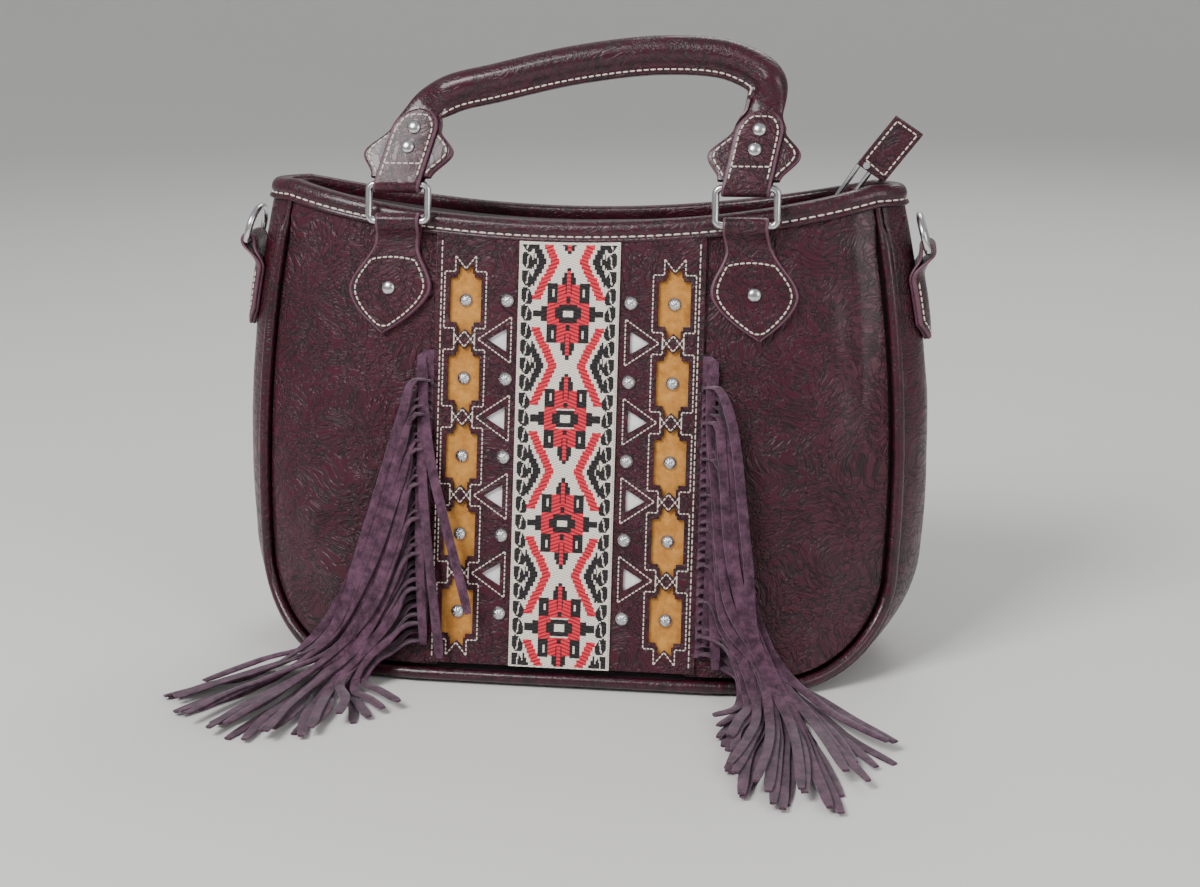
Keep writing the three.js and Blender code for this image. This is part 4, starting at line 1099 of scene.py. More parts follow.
@dataclass(frozen=True)
class Shell:
    """Panels, gusset and piping."""

    columns: int = 30
    corner_rows: int = 14
    side_rows: int = 30
    underlap: float = 62.0
    tucked: float = 0.16

    def place(self, face: Face, u: float, v: float, layer: int, inner: float, sign: int) -> Vector:
        """A point of a panel.

        Args:
            face: front or back.
            u: 0 at the inner edge and 1 at the seam.
            v: 0 at the foot, 1 above the corner and 2 at the rim.
            layer: 0 outside and 1 inside.
            inner: x of the inner edge.
            sign: -1 towards the left and 1 towards the right.

        Returns:
            The point.
        """
        low = FORM.corner_z - (FORM.corner_radius - SEAM_MARGIN) * math.cos(min(v, 1) * math.pi / 2)
        x, z = 0.0, low
        for _ in range(3):
            margin = seam_gap(z)
            if z >= FORM.corner_z:
                edge = FORM.seam_x(z) - margin
            else:
                radius = FORM.corner_radius - margin
                edge = FORM.corner_x + math.sqrt(max(0.0, radius**2 - (FORM.corner_z - z) ** 2))
            x = sign * lerp(inner, edge, u)
            if v > 1:
                z = lerp(FORM.corner_z, FORM.rim(x) - FORM.panel_top, v - 1)
        calm = smooth(1 - u, 0.0, 0.12) * smooth(z, 10, 30) * smooth(FORM.rim(x) - z, 8, 26)
        puff = 0.9 * smooth(1 - u, 0.0, 0.05) * (1 - smooth(1 - u, 0.05, 0.2)) * calm
        wobble = (ripple(Vector((x, z, face.value * 40)), 0.75) + puff) * calm
        return FORM.face_point(face, x, z, wobble - (LEATHER if layer else 0))

    def panels(self) -> None:
        """Makes the two front panels and the back panel."""
        rows = chain((self.corner_rows, 0, 1), (self.side_rows, 1, 2))
        for side in Side:
            def front(u: float, v: float, layer: int) -> Vector:
                """A point of this side's front panel."""
                return self.place(Face.FRONT, u, v, layer, self.underlap, side.value)

            shape = slab(steps(self.columns), rows, front, 1, 1)
            name = f"front_{side.word}_panel"
            piece(f"leather_{name}", shape, [BURGUNDY, INSIDE], "bag", [name], 0.4)

        def back(u: float, v: float, layer: int) -> Vector:
            """A point of the back panel, with u from -1 to 1."""
            return self.place(Face.BACK, abs(u), v, layer, 0, -1 if u < 0 else 1)

        shape = slab(steps(2 * self.columns + 20, -1, 1), rows, back, 1, 1)
        piece("leather_back_panel", shape, [BURGUNDY, INSIDE], "bag", ["back_panel"], 0.4)

    def gusset(self) -> None:
        """Makes the strip of the sides and base."""
        stations = chain((30, 0, 1), (20, 1, 2), (16, 2, 3), (20, 3, 4), (30, 4, 5))
        reach_at = {}
        for s in stations:
            edge = FORM.gusset_skin(s, 1)
            margin = seam_gap(FORM.station(s)[1])
            c = 1.0
            while (FORM.gusset_skin(s, c) - edge).length < margin:
                c -= 0.004
            reach_at[s] = c

        def place(u: float, s: float, layer: int) -> Vector:
            """A point at share u across the strip, at station s."""
            reach = reach_at[s]
            _, z, _, _, _, flat = FORM.station(s)
            inward = lerp(0.94, FORM.base_flat / reach, flat)
            c = math.copysign(knots(abs(u), (0, 0.7, 0.94, 1), (0, 0.7, inward, 1)), u)
            calm = (1 - flat) * smooth(1 - abs(u), 0, 0.15) * smooth(FORM.end_height - z, 50, 90)
            wobble = ripple(Vector((u * 40, z, s * 10)), 0.5) * calm
            return FORM.gusset_point(s, c * reach, wobble - (LEATHER if layer else 0))

        shape = slab(steps(32, -1, 1), stations, place, 1, 1)
        piece("leather_gusset", shape, [BURGUNDY, INSIDE], "bag", ["gusset"], 0.4, 30)

    def piping(self) -> None:
        """Makes the cord of leather along each seam."""
        start = FORM.end_height - FORM.piping_start
        near, far = self.tucked, 5 - self.tucked
        run = ((16, near, 1), (24, 1, 2), (12, 2, 3), (24, 3, 4), (16, 4, far))
        stations = chain((6, 0.0, near), *run, (6, far, 5.0))
        for face in Face:
            line = []
            for s in stations:
                x, z, nx, nz, _, flat = FORM.station(s)
                z = min(z, FORM.end_height - BINDING_DEPTH - GAP)
                if flat == 0:
                    x = math.copysign(FORM.seam_x(z), x)
                full = 1 - smooth(z, start, start + 8)
                out = (FORM.face_normal(face, x, z) + Vector((nx, 0, nz))).normalized()
                centre = FORM.face_point(face, x, z) + out * lerp(-0.2, 1.0, full)
                line.append((centre, out, lerp(TOP_MARGIN - 2 * GAP, PIPING_RADIUS, full)))
            sections = []
            for i, (centre, out, radius) in enumerate(line):
                before, after = line[max(0, i - 1)][0], line[min(len(line) - 1, i + 1)][0]
                along = (after - before).normalized()
                across = along.cross(out).normalized()
                up = across.cross(along)
                sections.append([centre + across * (radius * c) + up * (radius * s) for c, s in circle(14)])
            word = face.name.lower()
            piece(f"leather_{word}_piping", loft(sections), [DARK], "bag", [f"{word}_piping"])

    def build(self) -> None:
        """Makes all its pieces."""
        self.panels()
        self.gusset()
        self.piping()


@dataclass(frozen=True)
class Spot:
    """A place on the loop round the mouth."""

    face: Face | None
    side: int
    value: float


@dataclass(frozen=True)
class Mouth:
    """Binding of the rim, and the lining that hangs in it."""

    fine: int = 5
    end_steps: int = 16
    proud: float = 2.4
    play: float = 0.7
    lip: float = 1.9
    straight: float = 140.0
    round_in: float = 0.94
    chamfer: float = 7.0

    @property
    def lip_in(self) -> float:
        """Where the binding's inner lip starts."""
        return -LEATHER - LINING_PLAY - LINING - self.play

    def loop(self) -> list[Spot]:
        """Places round the mouth, from the front's left end on."""
        half = (0.0, 0.23, 0.46, 0.58, 0.69, 0.79, 0.87, 0.94, 1.0)
        right = chain(*((self.fine, a, b) for a, b in zip(half, half[1:])))
        across = [-x for x in reversed(right[1:])] + right
        ends = steps(self.end_steps, -1, 1)[1:-1]
        spots = [Spot(Face.FRONT, 0, x) for x in across]
        spots += [Spot(None, 1, c) for c in ends]
        spots += [Spot(Face.BACK, 0, x) for x in reversed(across)]
        spots += [Spot(None, -1, c) for c in reversed(ends)]
        return spots

    def skin(self, at: Spot, z: float) -> Vector:
        """A point of the bag's wall.

        Args:
            at: the place on the loop.
            z: its height.

        Returns:
            The point.
        """
        x = FORM.seam_x(z)
        if at.face:
            return Vector((at.value * x, FORM.face_y(at.face, at.value * x, z), z))
        y = FORM.middle_y(z) + at.value * FORM.face_depth(x, z)
        return Vector((at.side * (x + FORM.bulge(z) * FORM.crown(at.value, 0)), y, z))

    def normal(self, loop: Sequence[Spot], k: int, z: float) -> Vector:
        """Level outward direction of the wall."""
        along = self.skin(loop[(k + 1) % len(loop)], z) - self.skin(loop[k - 1], z)
        return Vector((along.y, -along.x, 0)).normalized()

    def wall(self, loop: Sequence[Spot], k: int, drop: float, proud: float) -> Vector:
        """A point proud of the wall, drop below the rim."""
        at = loop[k]
        rim = FORM.rim(at.value * FORM.seam_x(FORM.end_height)) if at.face else FORM.end_height
        return self.skin(at, rim - drop) + self.normal(loop, k, rim - drop) * proud

    def section(self) -> list[tuple[float, float]]:
        """Binding's cross-section: proud and drop, from its outer foot over the crown and back."""
        back = self.lip_in - self.lip
        p = self.proud
        knuckle = [(self.play, BINDING_DEPTH), (1.7, 8.75), (p, 8.1), (p + 0.05, 7.4), (p - 0.35, 6.6),
                   (p - 1.0, 5.9), (p - 0.75, 5.0), (p - 0.15, 4.0), (p, 2.6), (p - 0.1, 1.2), (p - 0.6, 0.0),
                   (p - 1.5, -0.85), (0.0, -1.25), (-1.6, -1.4), (-3.4, -1.3), (back + 1.4, -1.1),
                   (back + 0.4, -0.3), (back - 0.1, 0.8), (back - 0.35, 2.2), (back - 0.2, 5.0),
                   (back, BINDING_DEPTH)]
        top = FORM.panel_top - GAP
        under = [(self.lip_in, BINDING_DEPTH), (self.lip_in, top), (self.play, top)]
        return knuckle + under

    def binding(self) -> None:
        """Makes the binding and its row of stitches."""
        loop = self.loop()
        count = range(len(loop))
        sections = [[self.wall(loop, k, drop, proud) for proud, drop in self.section()] for k in count]
        piece("rolled_binding", loft(sections, True), [DARK], "bag", ["mouth_binding"], 0, 60)
        sewing = Sewing("binding_stitches", "bag", 0.5, 0.45)
        for drop, proud in ((5.9, self.proud - 0.9), (5.6, self.lip_in - self.lip - 0.1)):
            path = [self.wall(loop, k, drop, proud) for k in count]
            normals = [self.normal(loop, k, FORM.end_height) * math.copysign(1, proud) for k in count]

            def out(p: Vector) -> Vector:
                """The binding's outward direction at the seam's nearest point."""
                return normals[min(count, key=lambda k: (path[k] - p).length_squared)]

            sewing.row([*path, path[0]], out, 4.4)
        sewing.close()

    def bucket(self, inset: float) -> list[list[Vector]]:
        """Sections of the lining, from the rim to the floor.

        Args:
            inset: distance inside the leather's outer face.

        Returns:
            Rings of points.
        """
        loop = self.loop()
        count = range(len(loop))
        drops = steps(10, FORM.panel_top, FORM.panel_top + self.straight)
        sections = [[self.wall(loop, k, drop, -inset) for k in count] for drop in drops]
        cz, cx, radius = FORM.corner_z, FORM.corner_x, FORM.corner_radius
        base = [self.skin(loop[k], cz) + self.normal(loop, k, cz) * -inset for k in count]
        widest = cx + radius + FORM.bulge(cz) - inset
        for t in steps(8):
            angle = t * math.pi / 2 * self.round_in
            swell = lerp(FORM.bulge(cz), FORM.seam_lift, t)
            reach = radius + swell - inset - LINING_PLAY
            level = max(cz - reach * math.sin(angle), inset) if t < 1 else inset
            narrow = (cx + reach * math.cos(angle)) / widest
            chamfer = self.chamfer if t == 1 else 0
            deep = (FORM.half_depth(level) - inset - chamfer) / (FORM.half_depth(cz) - inset)
            middle, here = FORM.middle_y(cz), FORM.middle_y(level)
            sections.append([Vector((p.x * narrow, here + (p.y - middle) * deep, level)) for p in base])
        return sections

    def lining(self) -> None:
        """Makes the cloth lining."""
        outer = self.bucket(LEATHER + LINING_PLAY)
        inner = self.bucket(LEATHER + LINING_PLAY + LINING * 0.7)
        shape = loft([*reversed(outer), *inner])
        obj = piece("cloth_lining", shape, [LINING_CLOTH], "bag", ["lining"])

    def build(self) -> None:
        """Makes all its pieces."""
        self.binding()
        self.lining()


MOUTH = Mouth()


# ---- centre panel


@dataclass(frozen=True)
class CentrePanel:
    """Decorated centre: cut leather over inlays, studs, stitched figures and the woven ribbon."""

    half: float = FORM.centre_half
    thick: float = 1.7
    motif_x: float = 52.0
    motif_first: float = 36.0
    motif_pitch: float = 38.6
    motif_count: int = 5
    motif_half: float = 8.0
    motif_rise: float = 12.0
    neck: float = 3.5
    neck_rise: float = 5.5
    inner_stud: float = 30.7
    triangle_x: float = 30.7
    triangle_width: float = 9.6
    triangle_height: float = 11.6
    ribbon_half: float = 25.0
    flower_first: float = 30.3
    flower_pitch: float = 51.4
    inlay: float = 1.2
    cell_x: float = 0.5
    cell_y: float = 0.75
    rays: int = 8
    ray_depth: float = 0.3
    lap: float = 1.5
    edge_seam: float = 64.2

    @property
    def lean(self) -> float:
        """Backward lean of the panel, in radians."""
        top = FORM.lean_back - FORM.mouth_depth / 2
        return math.atan2(top + FORM.base_depth / 2, FORM.end_height)

    def world(self, p: Vector) -> Vector:
        """A point from the panel's frame: x across, y up the panel, z outward."""
        turn = math.pi / 2 - self.lean
        c, s = math.cos(turn), math.sin(turn)
        return Vector((p.x, -FORM.base_depth / 2 + p.y * c - p.z * s, p.y * s + p.z * c))

    @property
    def outward(self) -> Vector:
        """The panel's outward direction."""
        return (self.world(Vector((0, 0, 1))) - self.world(Vector((0, 0, 0)))).normalized()

    @property
    def front(self) -> float:
        """Height of the leather's face in the panel's frame."""
        return GAP + self.thick

    @property
    def bottom(self) -> float:
        """Lower edge along the panel."""
        return FORM.seam_lift + SEAM_MARGIN + 1.6

    def top(self, x: float) -> float:
        """Upper edge along the panel."""
        return (FORM.rim(x) - BINDING_DEPTH - GAP) / math.cos(self.lean)

    def band(self, half: float) -> Outline:
        """Outline of a strip of that half width, from bottom to top."""
        upper = [(x, self.top(x)) for x in steps(24, half, -half)]
        return [(-half, self.bottom), (half, self.bottom), *upper]

    @property
    def motif_heights(self) -> list[float]:
        """Heights of the stepped motifs."""
        return [self.motif_first + i * self.motif_pitch for i in range(self.motif_count)]

    @property
    def triangle_heights(self) -> list[float]:
        """Heights of the triangles between the motifs."""
        return [y - self.motif_pitch / 2 for y in self.motif_heights[1:]]

    def motif(self, x0: float, y0: float, seam: bool = False) -> Outline:
        """Outline of a stepped motif.

        Args:
            x0: its middle across the panel.
            y0: its middle along the panel.
            seam: whether it is the stitched outline, with a pair of horns above and below.

        Returns:
            The outline.
        """
        if seam:
            w, h, n = self.motif_half + 2.5, self.motif_rise + 2, self.neck + 1.7
            right = [(w, h), (n, h), (n, h + 7.8), (0, h + 1.4)]
        else:
            w, h, n = self.motif_half, self.motif_rise, self.neck
            peak, notch = h + self.neck_rise, h + 2.4
            right = [(w, h - 1), (n + 1, h - 1), (n + 1, h + 1), (n, h + 1), (n, peak), (0, notch)]
        upper = right + [(-x, y) for x, y in reversed(right[:-1])]
        return [(x0 + x, y0 + y) for x, y in upper + [(-x, -y) for x, y in upper]]

    def triangle(self, side: Side, y0: float, near: float = 0.0, far: float = 0.0,
                 tall: float = 0.0) -> Outline:
        """Outline of a triangle that points away from the ribbon.

        Args:
            side: left or right of the ribbon.
            y0: its middle along the panel.
            near: how far its base is moved out.
            far: how far its point is moved out.
            tall: how far its base's ends are moved out.

        Returns:
            The outline.
        """
        k, rise = side.value, self.triangle_height / 2 + tall
        x0, x1 = self.triangle_x - near, self.triangle_x + self.triangle_width + far
        return [(k * x0, y0 - rise), (k * x0, y0 + rise), (k * x1, y0)]

    def overlay(self) -> None:
        """Makes the cut leather with its inner studs."""
        outlines = [self.band(self.half)]
        for side in Side:
            outlines += [self.motif(side.value * self.motif_x, y) for y in self.motif_heights]
            outlines += [self.triangle(side, y) for y in self.triangle_heights]
        shape = plate(outlines, GAP, self.front, 0.14).moved(self.world)
        piece("cut_leather", shape, [BURGUNDY], "bag", ["centre_overlay"])
        studs = Shape()
        for side in Side:
            for y in self.motif_heights:
                studs.add(self.stud(side.value * self.inner_stud, y, self.front))
        piece("inner_studs", studs, [NICKEL])

    def stud(self, x: float, y: float, z: float) -> Shape:
        """A domed stud on the panel, pressed with eight rays.

        Args:
            x: its place across the panel.
            y: its place along the panel.
            z: height of the face that it sits on.

        Returns:
            The stud.
        """
        profile = [(0, -0.5), (3.2, -0.5), (3.5, -0.2), (3.5, 0.35), (3.3, 0.8), (2.8, 1.45), (2.0, 2.1),
                   (1.0, 2.5), (0, 2.6)]

        def press(p: Vector) -> Vector:
            """A point of the stud on the panel, sunk where a ray crosses it."""
            r = math.hypot(p.x, p.y)
            ray = max(0.0, math.cos(self.rays * math.atan2(p.y, p.x)))
            ray *= smooth(r, 0.4, 1.5) * (1 - smooth(r, 2.5, 3.2))
            return self.world(p + Vector((x, y, z - self.ray_depth * ray)))

        return lathe(profile, 48).moved(press)

    def inlays(self) -> None:
        """Makes the suede and white inlays behind the cut-outs, with the motifs' studs."""
        low = self.motif_first - self.motif_rise - self.neck_rise - self.lap
        high = self.motif_heights[-1] + self.motif_rise + self.neck_rise + self.lap
        near, far = self.motif_x - self.motif_half - self.lap, self.motif_x + self.motif_half + self.lap
        inner, outer = self.triangle_x - self.lap, near - GAP
        strips = (("tan", "suede", TAN, near, far), ("white", "white", WHITE, inner, outer))
        studs = Shape()
        for side in Side:
            k = side.value
            for word, node, finish, x0, x1 in strips:
                outline = [(k * x0, low), (k * x1, low), (k * x1, high), (k * x0, high)]
                shape = plate([outline], -self.inlay, 0, 0.2).moved(self.world)
                piece(f"{word}_{side.word}_inlay", shape, [finish], "bag", [f"{side.word}_{node}_inlay"])
            for y in self.motif_heights:
                studs.add(self.stud(k * self.motif_x, y, 0))
        piece("motif_studs", studs, [NICKEL])

    def figures(self) -> None:
        """Sews the edges, the motif outlines, the triangles and the horns."""
        sewing = Sewing("panel_stitches", "bag", 0.36, 0.34)

        def sew(path: Outline, closed: bool = True, pitch: float = 2.1) -> None:
            """Sews along a path on the panel, with a stitch at least on each of its edges."""
            points = [self.world(Vector((x, y, self.front))) for x, y in path]
            if closed:
                points.append(points[0])
            for a, b in zip(points, points[1:]):
                sewing.row([a, b], self.outward, min(pitch, max((b - a).length, 0.8)))

        for side in Side:
            for y in self.motif_heights:
                sew(self.motif(side.value * self.motif_x, y, True))
            for y in self.triangle_heights:
                sew(self.triangle(side, y, 2.3, 4.8, 5.6))
            ends = (self.bottom + 2.5, self.top(64) - 2.5)
            sew([(side.value * self.edge_seam, y) for y in ends], False, 3.2)
        sewing.close()

    def yarn(self, x: float, y: float) -> Yarn:
        """The yarn that shows at a point of the ribbon.

        Args:
            x: millimetres from the ribbon's middle.
            y: height along the panel.

        Returns:
            The yarn's colour.
        """
        turn = round((y - self.flower_first) / self.flower_pitch)
        u, v = abs(x), abs(y - self.flower_first - turn * self.flower_pitch)
        if u > 23.4:
            return Yarn.CREAM
        if u > 18.2:
            return self.leaf(x, y)
        if v < 5.4 and u < 17.4:
            return self.heart(u, v)
        if u < 1.2 and v < 22.4:
            return Yarn.RED if 8 < v < 20.6 else Yarn.BLACK
        if u < 5.4 and v < 14.2:
            return Yarn.BLACK if abs(u - 1.45) < 0.3 and v > 9.5 else Yarn.RED
        if u < 3.6 and v < 18.2 or u < 2.3 and v < 20.4:
            return Yarn.BLACK
        if 5.4 <= u < 10.7 and v < 14.6:
            return Yarn.CREAM if 7 < u < 8.2 and 8.4 < v < 12 else Yarn.BLACK
        step = 2.2
        climb = clamp((math.floor(v / step) * step + step / 2 - 7) / (self.flower_pitch / 2 - 7))
        line = lerp(16.2, 6.9, climb)
        if v > 6.6 and abs(u - line) < 2.3:
            return Yarn.RED
        if v > 11.5 and abs(u - line - 6.4) < 2.0:
            return Yarn.BLACK
        if v > 21.5 and abs(u - line - 10.2) < 1.1:
            return Yarn.BLACK
        return Yarn.CREAM

    def heart(self, u: float, v: float) -> Yarn:
        """Middle of a flower: an eye in a black diamond, red brackets and black tips.

        Args:
            u: distance from the ribbon's middle.
            v: distance from the flower's middle along the ribbon.

        Returns:
            The yarn's colour.
        """
        if u < 2.7 and v < 1.6:
            return Yarn.CREAM
        if u < 6.4 and v < 4.2 and (u < 4.6 or v < 2.6):
            return Yarn.BLACK
        if u < 10.6 and (u > 4.4 or v > 4.6):
            return Yarn.RED
        if u > 10.6 and (v < 1.7 or u < 13.7 and v < 3.6):
            return Yarn.BLACK
        return Yarn.CREAM

    def leaf(self, x: float, y: float) -> Yarn:
        """Column of slanting leaves along the ribbon's edges.

        Args:
            x: millimetres from the ribbon's middle.
            y: height along the panel.

        Returns:
            The yarn's colour.
        """
        period = self.flower_pitch / 6
        place = (y - self.flower_first) / period
        w = (place - round(place)) * period
        u = abs(x) - 21.0 - 0.25 * w
        if abs(w) > 4.1 or abs(u) > 2.9 * math.sqrt(1 - (w / 4.2) ** 2):
            return Yarn.CREAM
        return Yarn.CREAM if abs(u + 0.4 * w + 0.3) < 0.3 and abs(w) < 3 else Yarn.BLACK

    def ribbon(self) -> None:
        """Weaves the ribbon: one small raised cell for each crossing of its yarns."""
        base = self.front + GAP
        face = base + 1.0
        tape = plate([self.band(self.ribbon_half)], base, face, 0.25).moved(self.world)
        shape = Shape()
        columns = round((2 * self.ribbon_half - 1) / self.cell_x)
        rows = int((self.top(0) - self.bottom - 1.4) / self.cell_y)
        x0, y0 = 0.5 - self.ribbon_half, self.bottom + 0.7
        first = len(shape.points)
        for j in range(rows + 1):
            for i in range(columns + 1):
                shape.points.append(Vector((x0 + i * self.cell_x, y0 + j * self.cell_y, face + 0.12)))
        for j in range(rows):
            for i in range(columns):
                x, y = x0 + (i + 0.5) * self.cell_x, y0 + (j + 0.5) * self.cell_y
                yarn = self.yarn(x, y)
                if yarn is Yarn.CREAM:
                    lift = 0.16 + 0.16 * ((i // 2 + j) % 2)
                else:
                    lift = 0.62 - 0.42 * (((y + abs(x) * 0.45) / 2.2) % 1 < 0.3)
                shape.points.append(Vector((x, y, face + lift)))
                low = first + j * (columns + 1) + i
                corners = (low, low + 1, low + columns + 2, low + columns + 1, low)
                for a, b in zip(corners, corners[1:]):
                    shape.face((a, b, len(shape.points) - 1), yarn.value)
        weave = piece("ribbon_weave", shape.moved(self.world), [CREAM_YARN, RED_YARN, BLACK_YARN], "bag",
                      slot="woven_ribbon", angle=80)
        obj = piece("woven_ribbon", tape, [CREAM_YARN], "bag", ["ribbon_band"], slot="woven_ribbon")
        (self.top(0) - self.bottom) * MM
        sewing = Sewing("ribbon_stitches", "bag", 0.3, 0.28)
        for side in Side:
            x = side.value * (self.ribbon_half - 0.8)
            path = [self.world(Vector((x, y, face + 0.3))) for y in (self.bottom + 1, self.top(x) - 1)]
            sewing.row(path, self.outward, 2.6)
        sewing.close()

    def build(self) -> None:
        """Makes all its pieces."""
        self.overlay()
        self.inlays()
        self.figures()
        self.ribbon()


# ---- fringe


@dataclass(frozen=True)
class Fringe:
    """A strip of suede cut into strands, sewn under one edge of the centre panel."""

    side: Side
    tips: tuple[tuple[float, float], ...]
    top_out: float
    low_out: float
    top_land: float
    low_land: float
    hanging: tuple[tuple[float, float], ...] = ()
    strands: int = 34
    width: float = 4.7
    thick: float = 1.2
    top: float = 161.0
    bottom: float = 18.0
    hem: float = 5.5

    def path(self, i: int) -> Spline:
        """The line of one strand.

        Args:
            i: the strand, counted from the top.

        Returns:
            The line, from its root to its tip.
        """
        side = self.side.value
        a = i / (self.strands - 1)
        z0 = lerp(self.top - self.width / 2, self.bottom + self.width / 2, a)
        root = FORM.centre_half + GAP + 1
        layer = (i % 4) * 1.9
        n1, n2, n3 = (scatter(i, side + k) for k in (2, 5, 9))
        out = lerp(self.top_out, self.low_out, a)
        land = lerp(self.top_land, self.low_land, a)

        def front(x: float, z: float, proud: float) -> Vector:
            """A point proud of the front on this side."""
            return FORM.face_point(Face.FRONT, side * x, z, proud)

        if i < len(self.hanging):
            x, z = self.hanging[i]
            lift = 7 + 2.5 * i
            points = [front(root - 1, z0, 1.4), front(root + 4, z0 - 0.5, 3.6), front(root + 3, z0 - 12, 5)]
            for t in (0.3, 0.55, 0.8, 1):
                sway = 2.2 * math.sin(3 * t + i)
                proud = lerp(5, lift, min(1, t * 1.6))
                points.append(front(lerp(root + 2, x, t**1.3) + sway, lerp(z0 - 12, z, t), proud))
            return Spline(points)
        points = [front(root - 1, z0, 1.6), front(root + 7, z0 - 0.5, 3.4 + layer)]
        if z0 > 70:
            points.append(front(root + lerp(9, 14, n1), z0 - 16, 5 + layer))
            points.append(front(root + out * lerp(0.42, 0.62, n1), z0 * 0.48, 8 + layer))
        else:
            points.append(front(root + 12 + 5 * n1, z0 * 0.72, 5 + layer))
        floor = self.thick / 2 + 0.2 + (i % 5) * 1.5
        points.append(front(root + out * lerp(0.8, 1, n2), 22 * lerp(1, 0.5, a), 10 + layer))
        place = min(a * (len(self.tips) - 1), len(self.tips) - 1.001)
        near = int(place)
        tip = [lerp(self.tips[near][k], self.tips[near + 1][k], place - near) for k in (0, 1)]
        reach = lerp(0.84, 1, n1)
        foot = Vector((side * (root + land), FORM.face_y(Face.FRONT, root + land, 0) - 12 - 10 * n2, floor))
        end = Vector((lerp(side * root, tip[0], reach), lerp(-70, tip[1], reach), floor))
        across = (end - foot).cross(Vector((0, 0, 1))).normalized()
        points.append(foot.lerp(end, 0.25))
        points.append(foot.lerp(end, 0.62) + across * (n1 - 0.5) * 5)
        points.append(end + across * (n3 - 0.5) * 6)
        return Spline(points)

    def strand(self, i: int) -> tuple[Shape, float]:
        """One strand.

        Args:
            i: the strand, counted from the top.

        Returns:
            The strand and its length.
        """
        line = self.path(i)
        side = self.side.value
        outward = FORM.face_normal(Face.FRONT, side * 90, 80)
        twist = (scatter(i, side + 13) - 0.5) * 1.1
        sections = []
        for u in steps(36):
            t = line.even(u**1.25)
            p, along = line.at(t), line.tangent(t)
            lying = 1 - smooth(p.z, 8, 30)
            run = u * line.lengths[-1]
            edge_on = smooth(run, 1.5, 7) * (1 - smooth(run, 18, 55)) * (i >= len(self.hanging))
            facing = outward.lerp(Vector((0, 0, 1)), max(lying, edge_on)).normalized()
            across = along.cross(facing).normalized()
            normal = across.cross(along).normalized()
            turn = Quaternion(along, twist * math.sin(u * 5 + i) * smooth(u, 0.08, 0.3) * (1 - 0.75 * lying))
            across, normal = turn @ across, turn @ normal
            taper = 1 - 0.35 * smooth(u, 0.96, 1)
            w = self.width / 2 * taper * lerp(0.9, 1.05, scatter(i, 31))
            h = self.thick / 2
            cup = 0.28 * math.sin(u * 7 + i * 2)
            ring = [(-w, -h * 0.6), (-w * 0.5, -h + cup), (w * 0.5, -h + cup), (w, -h * 0.6),
                    (w, h * 0.6), (w * 0.5, h + cup), (-w * 0.5, h + cup), (-w, h * 0.6)]
            section = [p + across * x + normal * y for x, y in ring]
            for q in section:
                q.z = max(q.z, 0.12)
            sections.append(section)
        return loft(sections), line.lengths[-1]

    def build(self) -> None:
        """Makes the fringe as one sheet with its cut strands."""
        side = self.side.value
        start = FORM.centre_half + GAP

        def root(u: float, v: float, layer: int) -> Vector:
            """A point of the strip that the strands are cut from."""
            x = side * (start - 1.5 + u * self.hem)
            return FORM.face_point(Face.FRONT, x, lerp(self.bottom, self.top, v), 2 if layer == 0 else GAP)

        shape = Shape()
        area = self.hem * (self.top - self.bottom)
        longest = 0.0
        for i in range(self.strands):
            strand, length = self.strand(i)
            shape.add(strand)
            area += length * self.width
            longest = max(longest, length)
        shape.add(slab(steps(3), steps(24), root))
        word = self.side.word
        obj = piece(f"suede_{word}_fringe", shape, [PLUM], "bag", [f"{word}_fringe"], 0, 35)
        area * MM * MM


# ---- handles


LEAF_COLUMNS = [-1, *steps(14, -0.9, 0.9), 1]


def there_and_back(edge: Outline) -> Outline:
    """A seam along the left edge and back along the right one, from the right edge's points."""
    return [(-a, b) for a, b in edge] + list(reversed(edge))


